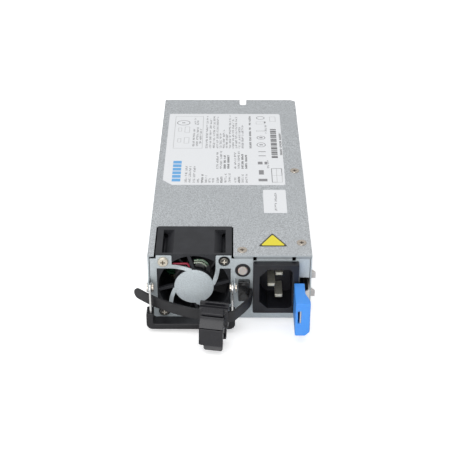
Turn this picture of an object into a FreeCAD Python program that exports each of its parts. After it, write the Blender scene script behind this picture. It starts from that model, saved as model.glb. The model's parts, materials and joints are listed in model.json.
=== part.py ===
"""Hot-swap power supply for a server bay, as a parametric document.

A folded steel tray and a flat cover hold a 40 mm fan, a rotated mains inlet and a main
board whose card edge leaves the rear. A bail handle, a sprung side latch with a plastic
tab and a cord strap with a sliding clip sit in front of the panel.

Frame: X to the right as seen from the front, Y from the front panel (-) to the card edge
(+), Z up. The origin is the centre of the tray's underside. All sizes are millimetres.
"""
import FreeCAD
import Part
import Sketcher
import math
import os

Vector = FreeCAD.Vector

SIZES = {
    # Casing
    "width": 86.0,
    "height": 39.5,
    "length": 192.0,
    "sheet": 0.8,
    "cover_sheet": 0.8,
    "bend_radius": 0.7,
    "panel_gap": 0.3,
    "lip_height": 2.0,
    "flange_depth": 6.0,
    "running_gap": 0.3,
    "fit_gap": 0.15,
    # Fan and the swirl guard stamped in the panel in front of it
    "fan_size": 40.0,
    "fan_depth": 28.0,
    "fan_offset": 18.9,
    "fan_pitch": 32.0,
    "fan_flange": 3.6,
    "fan_bore": 37.4,
    "fan_flat": 21.4,
    "fan_post": 3.4,
    "window_half": 19.4,
    "window_sill": 2.0,
    "tab_inner": 11.5,
    "tab_top_gap": 0.2,
    "tab_overlap": 0.3,
    "guard_disc": 20.8,
    "guard_arm_width": 2.2,
    "guard_arm_bend": 26.7,
    "guard_arm_start": 13.0,
    "guard_arm_end": 1.0,
    "motor_base": 21.0,
    "motor_base_inset": 0.4,
    "motor_base_depth": 2.0,
    "strut_width": 1.8,
    "strut_slant": 3.0,
    "tube_diameter": 7.6,
    "bearing_diameter": 6.0,
    "bearing_depth": 2.5,
    "shaft_diameter": 2.0,
    "shaft_clearance": 0.05,
    "hub_diameter": 21.0,
    "hub_wall": 1.0,
    "hub_setback": 3.2,
    "hub_depth": 23.0,
    "shaft_boss": 5.2,
    "shaft_boss_depth": 3.2,
    "magnet_wall": 1.0,
    "magnet_depth": 13.0,
    "magnet_setback": 0.5,
    "stator_diameter": 16.0,
    "stator_core": 10.4,
    "stator_depth": 11.0,
    "stator_standoff": 1.5,
    "pole_width": 2.4,
    "pole_shoe": 1.2,
    "blade_count": 5,
    "blade_thickness": 0.9,
    "blade_clearance": 0.5,
    "blade_inset": 1.0,
    "blade_root_sweep": 4.6,
    "blade_tip_sweep": 8.4,
    "blade_camber": 1.6,
    "lead_diameter": 1.3,
    # Mains inlet
    "inlet_width": 24.0,
    "inlet_tall": 30.5,
    "inlet_centre": 24.2,
    "inlet_rise": 21.05,
    "inlet_proud": 3.8,
    "inlet_shoulder": 0.9,
    "inlet_depth": 21.0,
    "inlet_rim_round": 0.8,
    "socket_width": 17.1,
    "socket_tall": 24.3,
    "socket_depth": 17.0,
    "socket_cut": 4.4,
    "socket_round": 2.4,
    "blade_width": 4.0,
    "blade_tall": 2.0,
    "blade_setback": 4.0,
    "blade_tail": 6.0,
    "blade_tip_chamfer": 0.5,
    "earth_shift": 2.2,
    "live_shift": 1.8,
    "live_pitch": 14.0,
    # Status lamp and strap anchor
    "lamp_across": 6.8,
    "lamp_rise": 30.5,
    "lamp_diameter": 5.1,
    "lamp_ring": 8.0,
    "bezel_tail": 1.5,
    "lamp_proud": 1.0,
    "lamp_depth": 5.0,
    "ring_proud": 0.4,
    "anchor_across": 7.55,
    "anchor_width": 6.1,
    "anchor_low": 12.9,
    "anchor_tall": 12.1,
    "anchor_proud": 3.2,
    "anchor_neck": 0.6,
    "anchor_depth": 3.0,
    "boss_diameter": 4.6,
    "boss_proud": 0.7,
    "boss_pitch": 5.5,
    # Bail handle
    "ear_reach": 6.2,
    "ear_low": 19.7,
    "ear_tall": 5.9,
    "ear_across": 2.2,
    "pivot_reach": 3.6,
    "pivot_rise": 22.0,
    "pivot_diameter": 3.0,
    "pivot_head": 4.6,
    "pivot_head_depth": 0.6,
    "pivot_clearance": 0.08,
    "arm_sheet": 1.0,
    "arm_top": 27.6,
    "arm_lobe": 2.9,
    "arm_front": 11.7,
    "arm_limb": 2.4,
    "arm_low": 4.4,
    "arm_shoulder": 0.4,
    "grip_left": 43.7,
    "grip_right": 2.9,
    "grip_rear": 5.7,
    "grip_depth": 7.3,
    "grip_low": 1.7,
    "grip_tall": 9.7,
    "grip_leg": 3.7,
    "grip_bar": 3.3,
    "grip_round": 3.2,
    "grip_inner_round": 1.2,
    "grip_edge": 0.7,
    # Cord strap and its clip
    "strap_height": 6.0,
    "strap_thickness": 1.3,
    "strap_low": 13.5,
    "strap_tip_round": 2.9,
    "clip_across": 8.0,
    "clip_reach": 21.35,
    "clip_yaw": 10.2,
    "clip_width": 15.0,
    "clip_gap": 0.3,
    "clip_wall": 1.5,
    "clip_top_wall": 2.2,
    "clip_ridge": 1.9,
    "ridge_top": 1.3,
    "ridge_foot": 1.5,
    "ledge_reach": 2.15,
    "clip_slope": 1.8,
    "cheek_wall": 1.0,
    "chin_edge": 0.6,
    "jaw_width": 12.5,
    "knuckle_width": 7.1,
    "knuckle_radius": 2.0,
    "knuckle_forward": 6.0,
    "knuckle_drop": 3.6,
    "clip_pin": 1.6,
    "loop_radius": 5.0,
    "loop_wall": 1.5,
    "loop_forward": 3.9,
    "loop_drop": 9.5,
    "loop_start": 112.0,
    "loop_end": 218.0,
    "knob_radius": 1.3,
    "tooth_overlap": 1.0,
    "lip_setback": 2.6,
    "lever_width": 11.0,
    "lever_thickness": 1.2,
    "lever_bevel": 0.7,
    "lever_foot": 0.9,
    "lever_drop": 0.6,
    "lever_overhang": 0.2,
    # Side latch
    "latch_sheet": 0.7,
    "latch_gap": 0.5,
    "latch_length": 80.0,
    "latch_low": 8.0,
    "latch_tall": 15.0,
    "latch_jog_start": 6.5,
    "latch_jog": 5.05,
    "latch_tail": 2.5,
    "latch_clearance": 0.2,
    "jog_foot": 1.2,
    "jog_slope": 0.43,
    "tongue_low": 13.4,
    "tongue_recess": 0.5,
    "tongue_tall": 7.5,
    "tooth_start": 12.0,
    "tooth_length": 7.0,
    "tooth_reach": 3.2,
    "tooth_tip": 0.8,
    "tooth_tall": 3.6,
    "tooth_low_rise": 7.7,
    "tooth_high_rise": 19.5,
    "rivet_diameter": 2.4,
    "rivet_head": 4.4,
    "rivet_head_depth": 0.8,
    "rivet_low_rise": 11.5,
    "rivet_high_rise": 19.5,
    "slot_left": 36.7,
    "slot_right": 41.95,
    "slot_low": 5.0,
    "slot_high": 26.0,
    "tab_left": 33.7,
    "tab_narrow": 39.05,
    "tab_wide": 41.3,
    "tab_start": 4.8,
    "tab_length": 19.0,
    "tab_low": 5.7,
    "tab_tall": 20.0,
    "tab_neck_end": 14.0,
    "tab_swell_end": 20.6,
    "tab_wall": 1.2,
    "tab_cavity_end": 1.5,
    "tab_slot_room": 1.0,
    "tab_blend": 3.8,
    "tab_chamfer": 2.3,
    "tab_edge": 0.6,
    # Cover details and labels
    "notch_across": 8.45,
    "notch_width": 4.3,
    "notch_drop": 3.0,
    "notch_depth": 8.0,
    "corner_round": 4.0,
    "relief_width": 1.8,
    "fan_relief": 1.2,
    "fan_gap": 0.7,
    "side_notch_width": 1.6,
    "side_notch_depth": 1.0,
    "side_notch_front": 136.5,
    "side_notch_rear": 176.0,
    "cover_screw_head": 5.2,
    "cover_screw_shank": 3.0,
    "cover_screw_proud": 0.5,
    "cover_screw_length": 5.0,
    "label_sheet": 0.15,
    "rating_left": 39.1,
    "rating_right": 32.0,
    "rating_front": 75.5,
    "rating_rear": 170.0,
    "rating_cut": 5.6,
    "rating_round": 1.5,
    "small_left": 18.8,
    "small_right": 31.8,
    "small_front": 43.8,
    "small_rear": 69.8,
    "sticker_centre": 22.8,
    "sticker_front": 9.3,
    "sticker_side": 15.6,
    "sticker_deep": 13.1,
    "screw_head": 5.5,
    "screw_head_depth": 1.6,
    "screw_shank": 2.9,
    "screw_length": 7.0,
    "recess_width": 0.9,
    "recess_length": 3.0,
    "recess_depth": 0.9,
    # Rear panel
    "vent_across": 4.0,
    "vent_pitch": 5.0,
    "vent_columns": 15,
    "vent_rows": 4,
    "vent_low": 15.5,
    # Main board and what it carries
    "board_thickness": 1.6,
    "board_rise": 6.0,
    "board_left": 41.0,
    "board_right": 35.4,
    "board_front_gap": 4.0,
    "card_half": 27.0,
    "card_length": 9.5,
    "card_key_across": 6.0,
    "card_key_width": 2.0,
    "contact_count": 17,
    "contact_pitch": 3.0,
    "contact_width": 2.0,
    "contact_length": 7.5,
    "contact_thickness": 0.1,
    "contact_setback": 0.6,
    "insulator_sheet": 0.4,
    "spacer_diameter": 5.0,
    "board_screw_head": 5.4,
    "board_screw_head_depth": 1.8,
    "board_screw_shank": 2.9,
    "board_screw_length": 4.6,
    "board_margin": 1.0,
    "part_gap": 2.0,
    "stage_gap": 6.0,
    "spacer_inset": 4.5,
    "capacitor_diameter": 22.0,
    "capacitor_height": 28.5,
    "capacitor_count": 2,
    "capacitor_gap": 1.2,
    "choke_outer": 24.0,
    "choke_inner": 10.0,
    "choke_depth": 10.0,
    "winding_build": 1.4,
    "winding_split": 5.0,
    "filter_setback": 11.0,
    "film_length": 18.0,
    "film_width": 9.0,
    "film_height": 16.0,
    "fuse_diameter": 5.2,
    "fuse_length": 20.0,
    "relay_length": 20.0,
    "relay_width": 11.0,
    "relay_height": 15.5,
    "sink_gap": 1.0,
    "sink_base": 3.0,
    "sink_height": 27.0,
    "sink_fin_count": 5,
    "sink_fin": 1.2,
    "sink_fin_pitch": 5.6,
    "sink_fin_reach": 6.0,
    "device_width": 15.6,
    "device_height": 20.0,
    "device_depth": 5.0,
    "device_pitch": 19.0,
    "device_count": 2,
    "device_rise": 4.0,
    "core_width": 32.0,
    "core_depth": 28.0,
    "core_height": 26.0,
    "core_limb": 6.5,
    "bobbin_build": 5.0,
    "output_sink_width": 30.0,
    "output_sink_depth": 12.0,
    "output_sink_height": 20.0,
    "output_can_diameter": 8.0,
    "output_can_height": 14.0,
    "output_can_count": 6,
    "output_can_pitch": 9.2,
    "can_inset": 8.0,
    "stage_inset": 30.0,
    "bar_thickness": 1.5,
    "bar_height": 9.0,
    "bar_depth": 5.0,
    "bar_inset": 4.0,
    "control_thickness": 1.2,
    "control_length": 46.0,
    "control_height": 22.0,
}


class Size:
    """A length that keeps the spreadsheet formula it was worked out with."""

    def __init__(self, value, formula):
        self.value = value
        self.formula = formula

    def __add__(self, other):
        other = size_of(other)
        return Size(self.value + other.value, f"({self.formula} + {other.formula})")

    def __sub__(self, other):
        other = size_of(other)
        return Size(self.value - other.value, f"({self.formula} - {other.formula})")

    def __mul__(self, other):
        other = size_of(other)
        return Size(self.value * other.value, f"({self.formula} * {other.formula})")

    def __truediv__(self, other):
        other = size_of(other)
        return Size(self.value / other.value, f"({self.formula} / {other.formula})")

    def __neg__(self):
        return Size(-self.value, f"(0 - {self.formula})")

    def __radd__(self, other):
        return size_of(other) + self

    def __rsub__(self, other):
        return size_of(other) - self

    def __rmul__(self, other):
        return size_of(other) * self


def size_of(number):
    """The Size of a plain number, or the Size that is passed in."""
    if isinstance(number, Size):
        return number
    if number < 0:
        return Size(float(number), f"(0 - {abs(number)})")
    return Size(float(number), str(number))


class Sheet:
    """The spreadsheet of driving dimensions, read as attributes that are Sizes."""

    def __init__(self, document, values):
        self.cells = document.addObject("Spreadsheet::Sheet", "Sizes")
        for row, (word, number) in enumerate(values.items(), start=1):
            self.cells.set(f"A{row}", word)
            self.cells.set(f"B{row}", str(number))
            self.cells.setAlias(f"B{row}", word)
            setattr(self, word, Size(float(number), f"Sizes.{word}"))


doc = FreeCAD.newDocument("power_supply")
s = Sheet(doc, SIZES)
doc.recompute()
PARTS = {}

# Places that several sub-parts share
half = s.width / 2
front = -s.length / 2
rear = s.length / 2
panel_back = front + s.sheet
wall_inner = half - s.sheet
wall_top = s.height - s.cover_sheet
panel_top = s.height - s.lip_height
fan_x = -s.fan_offset
fan_z = s.fan_size / 2
fan_half = s.fan_size / 2
fan_rear = panel_back + s.fan_depth
board_bottom = s.board_rise
board_top = s.board_rise + s.board_thickness
board_front = fan_rear + s.board_front_gap
latch_right = wall_inner - s.latch_gap
latch_left = latch_right - s.latch_sheet
latch_pivot_y = front + s.latch_length
left_arm_x = -(wall_inner - s.running_gap)
right_arm_x = s.ear_across - s.running_gap - s.arm_sheet


def bind(item, path, size):
    """Ties a property to the formula of a size."""
    item.setExpression(path, size_of(size).formula)


def keep(item, label):
    """Labels a finished sub-part and lists it for export."""
    item.Label = label
    PARTS[label] = item
    return item


# ---------------------------------------------------------------- sketch outlines


def fix_point(profile, geometry, point, x, y):
    """Holds a point of a sketch at two sizes from the sketch's origin."""
    for kind, size in (("DistanceX", x), ("DistanceY", y)):
        value = size_of(size).value
        index = profile.addConstraint(Sketcher.Constraint(kind, -1, 1, geometry, point, value))
        bind(profile, f"Constraints[{index}]", size)


def polygon(points):
    """A closed outline of straight lines through the given corners."""

    def draw(profile):
        places = [Vector(size_of(x).value, size_of(y).value, 0) for x, y in points]
        lines = []
        for start, end in zip(places, places[1:] + places[:1]):
            lines.append(profile.addGeometry(Part.LineSegment(start, end), False))
        for line, following in zip(lines, lines[1:] + lines[:1]):
            profile.addConstraint(Sketcher.Constraint("Coincident", line, 2, following, 1))
        for line, (x, y) in zip(lines, points):
            fix_point(profile, line, 1, x, y)

    return draw


def rectangle(left, low, right, high):
    """A rectangle between two corners."""
    return polygon([(left, low), (right, low), (right, high), (left, high)])


def circle(x, y, radius):
    """A circle about a centre."""

    def draw(profile):
        centre = Vector(size_of(x).value, size_of(y).value, 0)
        shape = Part.Circle(centre, Vector(0, 0, 1), size_of(radius).value)
        geometry = profile.addGeometry(shape, False)
        fix_point(profile, geometry, 3, x, y)
        limit = Sketcher.Constraint("Radius", geometry, size_of(radius).value)
        bind(profile, f"Constraints[{profile.addConstraint(limit)}]", radius)

    return draw


def curved_strip(x, y, inner, outer, start, end):
    """A strip between two arcs about one centre, cut off at two distances across."""

    def draw(profile):
        centre = Vector(size_of(x).value, size_of(y).value, 0)
        arcs = []
        for radius in (inner, outer):
            span = size_of(radius).value
            last = math.acos((size_of(start).value - centre.x) / span)
            first = math.acos((size_of(end).value - centre.x) / span)
            ring = Part.Circle(centre, Vector(0, 0, 1), span)
            arc = profile.addGeometry(Part.ArcOfCircle(ring, first, last), False)
            fix_point(profile, arc, 3, x, y)
            index = profile.addConstraint(Sketcher.Constraint("Radius", arc, span))
            bind(profile, f"Constraints[{index}]", radius)
            for point, across in ((1, end), (2, start)):
                value = size_of(across).value
                limit = Sketcher.Constraint("DistanceX", -1, 1, arc, point, value)
                bind(profile, f"Constraints[{profile.addConstraint(limit)}]", across)
            arcs.append(arc)
        for point in (1, 2):
            ends = [profile.getPoint(arc, point) for arc in arcs]
            line = profile.addGeometry(Part.LineSegment(*ends), False)
            for place, arc in zip((1, 2), arcs):
                join = Sketcher.Constraint("Coincident", line, place, arc, point)
                profile.addConstraint(join)

    return draw


# ---------------------------------------------------------------- body features


def new_body(label):
    """An empty PartDesign body, listed for export."""
    return keep(doc.addObject("PartDesign::Body", label), label)


def new_sketch(body, plane, at, shapes, origin=(0, 0)):
    """A sketch across a plane of the body's origin, at a size along its normal.

    The XZ plane's normal points to -Y, so its offset is the negative of the Y place.
    """
    profile = body.newObject("Sketcher::SketchObject", f"{body.Label}_sketch")
    base = [item for item in body.Origin.OriginFeatures if item.Role == plane][0]
    profile.AttachmentSupport = [(base, "")]
    profile.MapMode = "FlatFace"
    offset = -size_of(at) if plane == "XZ_Plane" else at
    bind(profile, ".AttachmentOffset.Base.x", origin[0])
    bind(profile, ".AttachmentOffset.Base.y", origin[1])
    bind(profile, ".AttachmentOffset.Base.z", offset)
    for draw in shapes:
        draw(profile)
    return profile


def pad(body, plane, start, end, shapes, origin=(0, 0)):
    """Adds outlines from one place to a higher one along the plane's axis."""
    feature = body.newObject("PartDesign::Pad", f"{body.Label}_pad")
    feature.Profile = new_sketch(body, plane, start, shapes, origin)
    bind(feature, "Length", size_of(end) - start)
    feature.Reversed = plane == "XZ_Plane"
    return feature


def pocket(body, plane, start, end, shapes, origin=(0, 0)):
    """Removes outlines from one place to a higher one along the plane's axis."""
    doc.recompute()
    before = body.Shape.Volume
    feature = body.newObject("PartDesign::Pocket", f"{body.Label}_pocket")
    feature.Profile = new_sketch(body, plane, start, shapes, origin)
    bind(feature, "Length", size_of(end) - start)
    feature.Reversed = plane != "XZ_Plane"
    doc.recompute()
    if not body.Shape.Volume < before:
        raise RuntimeError(f"a pocket of {body.Label} removes nothing")
    return feature


def around(body, feature, count):
    """Repeats a feature round the normal axis through its sketch's origin."""
    pattern = body.newObject("PartDesign::PolarPattern", f"{body.Label}_around")
    pattern.Originals = [feature]
    pattern.Axis = (feature.Profile[0], ["N_Axis"])
    pattern.Angle = 360
    bind(pattern, "Occurrences", count)
    body.Tip = pattern
    return pattern


def along(body, feature, axis, span, count):
    """Repeats a feature along an axis of its sketch over a whole span."""
    pattern = body.newObject("PartDesign::LinearPattern", f"{body.Label}_along")
    pattern.Originals = [feature]
    pattern.Direction = (feature.Profile[0], [axis])
    bind(pattern, "Length", span)
    bind(pattern, "Occurrences", count)
    body.Tip = pattern
    return pattern


def straight_edges(body, axis, places):
    """Names of the edges along one axis through the given places across it."""
    doc.recompute()
    across = [index for index in range(3) if index != axis]
    names = []
    for number, edge in enumerate(body.Tip.Shape.Edges, start=1):
        if edge.Curve.TypeId != "Part::GeomLine":
            continue
        if abs(edge.tangentAt(edge.FirstParameter)[axis]) < 0.999:
            continue
        point = edge.Vertexes[0].Point
        for place in places:
            gaps = [abs(point[index] - size_of(size).value) for index, size in zip(across, place)]
            if max(gaps) < 0.001:
                names.append(f"Edge{number}")
    if not names:
        raise RuntimeError(f"no such edge on {body.Label}")
    return names


def round_edges(body, axis, places, radius):
    """Fillets the straight edges along one axis through the given places."""
    names = straight_edges(body, axis, places)
    base = body.Tip
    feature = body.newObject("PartDesign::Fillet", f"{body.Label}_fillet")
    feature.Base = (base, names)
    bind(feature, "Radius", radius)
    return feature


def bevel_edges(body, axis, places, size):
    """Chamfers the straight edges along one axis through the given places."""
    names = straight_edges(body, axis, places)
    base = body.Tip
    feature = body.newObject("PartDesign::Chamfer", f"{body.Label}_chamfer")
    feature.Base = (base, names)
    bind(feature, "Size", size)
    return feature


# ---------------------------------------------------------------- primitives


def block(name, low, high):
    """A box between two corners."""
    item = doc.addObject("Part::Box", name)
    for side, lower, upper in zip(("Length", "Width", "Height"), low, high):
        bind(item, side, size_of(upper) - lower)
    for letter, lower in zip("xyz", low):
        bind(item, f"Placement.Base.{letter}", lower)
    return item


TURNS = {
    "X": FreeCAD.Rotation(Vector(0, 1, 0), 90),
    "Y": FreeCAD.Rotation(Vector(1, 0, 0), -90),
    "Z": FreeCAD.Rotation(),
}


def rod(name, axis, centre, radius, start, end):
    """A cylinder along an axis, through a centre across it, between two places."""
    item = doc.addObject("Part::Cylinder", name)
    bind(item, "Radius", radius)
    bind(item, "Height", size_of(end) - start)
    item.Placement = FreeCAD.Placement(Vector(), TURNS[axis])
    across = list(centre)
    place = {"X": [start] + across, "Y": [across[0], start, across[-1]], "Z": across + [start]}
    for letter, size in zip("xyz", place[axis]):
        bind(item, f"Placement.Base.{letter}", size)
    return item


def cut(name, base, tools):
    """A solid less other solids."""
    for tool in tools:
        less = doc.addObject("Part::Cut", name)
        less.Base = base
        less.Tool = tool
        base = less
    return base


def fuse(name, pieces):
    """Several solids joined into one."""
    item = doc.addObject("Part::MultiFuse", name)
    item.Shapes = pieces
    item.Refine = True
    return item


def group(name, pieces):
    """Several separate solids kept as one sub-part."""
    item = doc.addObject("Part::Compound", name)
    item.Links = pieces
    return keep(item, name)


def ring(name, axis, centre, inner, outer, start, end):
    """A tube along an axis."""
    body = rod(f"{name}_outside", axis, centre, outer, start, end)
    bore = rod(f"{name}_bore", axis, centre, inner, start, end)
    return cut(name, body, [bore])


def rounded_path(points):
    """A wire of straight runs joined by tangent arcs as large as the runs allow."""
    edges = []
    here = points[0]
    for before, corner, after in zip(points, points[1:], points[2:]):
        arriving = corner - before
        leaving = after - corner
        turn = arriving.getAngle(leaving)
        setback = 0.45 * min(arriving.Length, leaving.Length)
        first = corner - arriving.normalize() * setback
        last = corner + leaving.normalize() * setback
        bisector = (first + last) * 0.5 - corner
        radius = setback / math.tan(turn / 2)
        reach = radius / math.cos(turn / 2) - radius
        middle = corner + bisector.normalize() * reach
        edges.append(Part.LineSegment(here, first).toShape())
        edges.append(Part.Arc(first, middle, last).toShape())
        here = last
    edges.append(Part.LineSegment(here, points[-1]).toShape())
    return Part.Wire(edges)


def tube(points, diameter):
    """A round cord's solid along a rounded path."""
    path = rounded_path(points)
    heading = points[1] - points[0]
    section = Part.Wire([Part.makeCircle(diameter.value / 2, points[0], heading)])
    return path.makePipeShell([section], True, True)


# ---------------------------------------------------------------- casing


def chassis_tray():
    """Floor, side walls, handle ears and the front panel with the swirl guard."""
    body = new_body("chassis_tray")
    pad(body, "XY_Plane", 0, s.sheet, [rectangle(-half, front, half, rear)])
    left_wall = rectangle(front, 0, rear, wall_top)
    pad(body, "YZ_Plane", -half, -wall_inner, [left_wall])
    pad(body, "YZ_Plane", wall_inner, half, [left_wall])
    panel_half = wall_inner - s.panel_gap
    panel = rectangle(-panel_half, 0, panel_half, panel_top)
    pad(body, "XZ_Plane", front, panel_back, [panel])
    window = rectangle(fan_x - s.window_half, s.window_sill, fan_x + s.window_half, s.height)
    pocket(body, "XZ_Plane", front, panel_back, [window])
    swirl_guard(body)
    handle_ears(body)
    panel_openings(body)
    clearance = s.running_gap
    floor_hole = rectangle(fan_x - fan_half - clearance, panel_back,
                           fan_x + fan_half + clearance, fan_rear + clearance)
    pocket(body, "XY_Plane", 0, s.sheet, [floor_hole])
    tooth_windows(body)
    round_edges(body, 1, [(-half, 0), (half, 0)], s.bend_radius)


def swirl_guard(body):
    """Corner tabs for the fan's screws, the blank disc and its four swept arms."""
    centre = (fan_x, fan_z)
    rise = s.height - fan_z - s.tab_top_gap
    corners = []
    for side in (-1, 1):
        edges = (side * s.tab_inner, side * (s.window_half + s.tab_overlap))
        left, right = edges if side > 0 else edges[::-1]
        corners.append(rectangle(left, s.tab_inner, right, rise))
        corners.append(rectangle(left, s.sheet - fan_z, right, -s.tab_inner))
    tabs = pad(body, "XZ_Plane", front, panel_back, corners, centre)
    doc.recompute()
    round_edges(body, 1, [(fan_x + s.tab_inner, fan_z + rise),
                          (fan_x - s.tab_inner, fan_z + rise)], s.bend_radius)
    disc = circle(0, 0, s.guard_disc / 2)
    pad(body, "XZ_Plane", front, panel_back, [disc], centre)
    bend_low = s.tab_inner + s.guard_arm_width / 2 - s.guard_arm_bend
    arm = curved_strip(-s.guard_arm_start, bend_low,
                       s.guard_arm_bend - s.guard_arm_width / 2,
                       s.guard_arm_bend + s.guard_arm_width / 2,
                       -s.guard_arm_start, -s.guard_arm_end)
    around(body, pad(body, "XZ_Plane", front, panel_back, [arm], centre), 4)
    pitch = s.fan_pitch / 2
    clamped = circle(-pitch, pitch, s.screw_shank / 2 + s.fit_gap)
    sunk = [circle(across, up, s.screw_head / 2 + s.running_gap)
            for across, up in ((pitch, pitch), (-pitch, -pitch), (pitch, -pitch))]
    pocket(body, "XZ_Plane", front, panel_back, [clamped] + sunk, centre)


def handle_ears(body):
    """Two forward ears with the holes of the handle's pivots."""
    ear_high = s.ear_low + s.ear_tall
    ear = rectangle(front - s.ear_reach, s.ear_low, front + s.sheet, ear_high)
    sides = ((-half, -wall_inner), (s.ear_across, s.ear_across + s.sheet))
    for left, right in sides:
        pad(body, "YZ_Plane", left, right, [ear])
    hole = circle(front - s.pivot_reach, s.pivot_rise, s.pivot_diameter / 2)
    for left, right in sides:
        pocket(body, "YZ_Plane", left, right, [hole])
    round_edges(body, 0, [(front - s.ear_reach, s.ear_low), (front - s.ear_reach, ear_high)],
                s.ear_tall / 3)


def panel_openings(body):
    """Holes for the lamp, the strap anchor, the inlet and the latch strip."""
    neck = s.anchor_width / 2 - s.anchor_neck + s.fit_gap
    anchor = rectangle(s.anchor_across - neck, s.anchor_low + s.anchor_neck - s.fit_gap,
                       s.anchor_across + neck,
                       s.anchor_low + s.anchor_tall - s.anchor_neck + s.fit_gap)
    shell_half = s.inlet_width / 2 - s.inlet_shoulder + s.fit_gap
    shell_rise = s.inlet_tall / 2 - s.inlet_shoulder + s.fit_gap
    inlet = rectangle(s.inlet_centre - shell_half, s.inlet_rise - shell_rise,
                      s.inlet_centre + shell_half, s.inlet_rise + shell_rise)
    slot = rectangle(s.slot_left, s.slot_low, s.slot_right, s.slot_high)
    lamp = circle(s.lamp_across, s.lamp_rise, s.lamp_ring / 2)
    pocket(body, "XZ_Plane", front, panel_back, [anchor, inlet, lamp])
    pocket(body, "XZ_Plane", front, panel_back, [slot])
    left = s.inlet_centre - s.inlet_width / 2
    right = s.inlet_centre + s.inlet_width / 2
    slit_foot = s.inlet_rise + s.inlet_tall / 2
    slits = [rectangle(left, slit_foot, left + s.relief_width, panel_top),
             rectangle(right - 2 * s.relief_width, slit_foot, right - s.relief_width, panel_top)]
    pocket(body, "XZ_Plane", front, panel_back, slits)


def tooth_windows(body):
    """Two windows in the right wall that the latch teeth pass through."""
    slack = s.latch_clearance + s.fit_gap
    start = front + s.tooth_start - 3 * slack
    end = front + s.tooth_start + s.tooth_length + 3 * slack
    windows = [rectangle(start, rise - s.tooth_tall / 2 - slack, end, rise + s.tooth_tall / 2 + slack)
               for rise in (s.tooth_low_rise, s.tooth_high_rise)]
    pocket(body, "YZ_Plane", wall_inner, half, windows)
    holes = [circle(latch_pivot_y, rise, s.rivet_diameter / 2)
             for rise in (s.rivet_low_rise, s.rivet_high_rise)]
    pocket(body, "YZ_Plane", wall_inner, half, holes)


# A hexagon grid's row spacing for one pitch, and a hexagon's corner for one half width
ROW_RISE = math.sqrt(3) / 2
CORNER_REACH = 2 / math.sqrt(3)
COVER_SCREWS = (
    (6.5, 5.4),
    (38.0, 12.7),
    (38.1, 92.8),
)


def top_cover():
    """Flat cover with inner flanges, a front lip and the cut-out over the fan."""
    body = new_body("top_cover")
    pad(body, "XY_Plane", wall_top, s.height, [rectangle(-half, front, half, rear)])
    flange_low = wall_top - s.flange_depth
    sides = ((-wall_inner, s.cover_sheet - wall_inner), (wall_inner - s.cover_sheet, wall_inner))
    for left, right in sides:
        flange = rectangle(panel_back + s.lip_height, flange_low,
                           rear - s.corner_round - s.bend_radius, wall_top)
        pad(body, "YZ_Plane", left, right, [flange])
    lip_cover(body)
    gap = s.running_gap
    fan_hole = rectangle(fan_x - fan_half - s.fan_gap, front,
                         fan_x + fan_half + s.fan_gap, fan_rear + gap)
    pocket(body, "XY_Plane", wall_top, s.height, [fan_hole])
    half_notch = s.notch_width / 2
    notch_end = rear - s.notch_depth
    rear_notch = rectangle(s.notch_across - half_notch, notch_end,
                           s.notch_across + half_notch, rear)
    pocket(body, "XY_Plane", wall_top, s.height, [rear_notch])
    side_notches = []
    for distance in (s.side_notch_front, s.side_notch_rear):
        start = front + distance
        side_notches.append(rectangle(half - s.side_notch_depth, start, half,
                                      start + s.side_notch_width))
    pocket(body, "XY_Plane", wall_top, s.height, side_notches)
    holes = [circle(x, front + y, s.cover_screw_shank / 2 + s.fit_gap) for x, y in COVER_SCREWS]
    pocket(body, "XY_Plane", wall_top, s.height, holes)
    round_edges(body, 2, [(half, rear)], s.corner_round)
    round_edges(body, 2, [(s.notch_across - half_notch, notch_end),
                          (s.notch_across + half_notch, notch_end)], s.notch_width * 0.49)
    round_edges(body, 0, [(front, s.height)], s.bend_radius)


def lip_cover(body):
    """The cover's front lip in three lengths, parted by relief slits."""
    inlet_left = s.inlet_centre - s.inlet_width / 2
    inlet_right = s.inlet_centre + s.inlet_width / 2
    lip_start = fan_x + fan_half + s.fan_relief
    spans = (
        (lip_start, inlet_left),
        (inlet_left + s.relief_width, inlet_right - 2 * s.relief_width),
        (inlet_right - s.relief_width, half - s.panel_gap),
    )
    lips = [rectangle(left, panel_top, right, wall_top) for left, right in spans]
    pad(body, "XZ_Plane", front, panel_back, lips)


def rear_panel():
    """Perforated rear wall with the slot of the card edge."""
    body = new_body("rear_panel")
    plate = rectangle(-wall_inner, s.sheet, wall_inner, wall_top)
    pad(body, "XZ_Plane", rear - s.sheet, rear, [plate])
    slack = s.running_gap
    slot = rectangle(-s.card_half - slack, board_bottom - slack,
                     s.card_half + slack, board_top + slack)
    pocket(body, "XZ_Plane", rear - s.sheet, rear, [slot])
    half_notch = s.notch_width / 2
    notch = rectangle(s.notch_across - half_notch, wall_top - s.notch_drop,
                      s.notch_across + half_notch, wall_top)
    pocket(body, "XZ_Plane", rear - s.sheet, rear, [notch])
    span = s.vent_pitch * (s.vent_columns - 1)
    for row in range(int(s.vent_rows.value)):
        shift = s.vent_pitch / 4 * (1 if row % 2 else -1)
        rise = s.vent_low + s.vent_pitch * ROW_RISE * row
        corners = [(s.vent_across / 2 * CORNER_REACH * math.cos(math.radians(60 * turn + 30)),
                    s.vent_across / 2 * CORNER_REACH * math.sin(math.radians(60 * turn + 30)))
                   for turn in range(6)]
        centre = (shift - span / 2, rise)
        hole = pocket(body, "XZ_Plane", rear - s.sheet, rear, [polygon(corners)], centre)
        along(body, hole, "H_Axis", span, s.vent_columns)


# ---------------------------------------------------------------- fan


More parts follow.
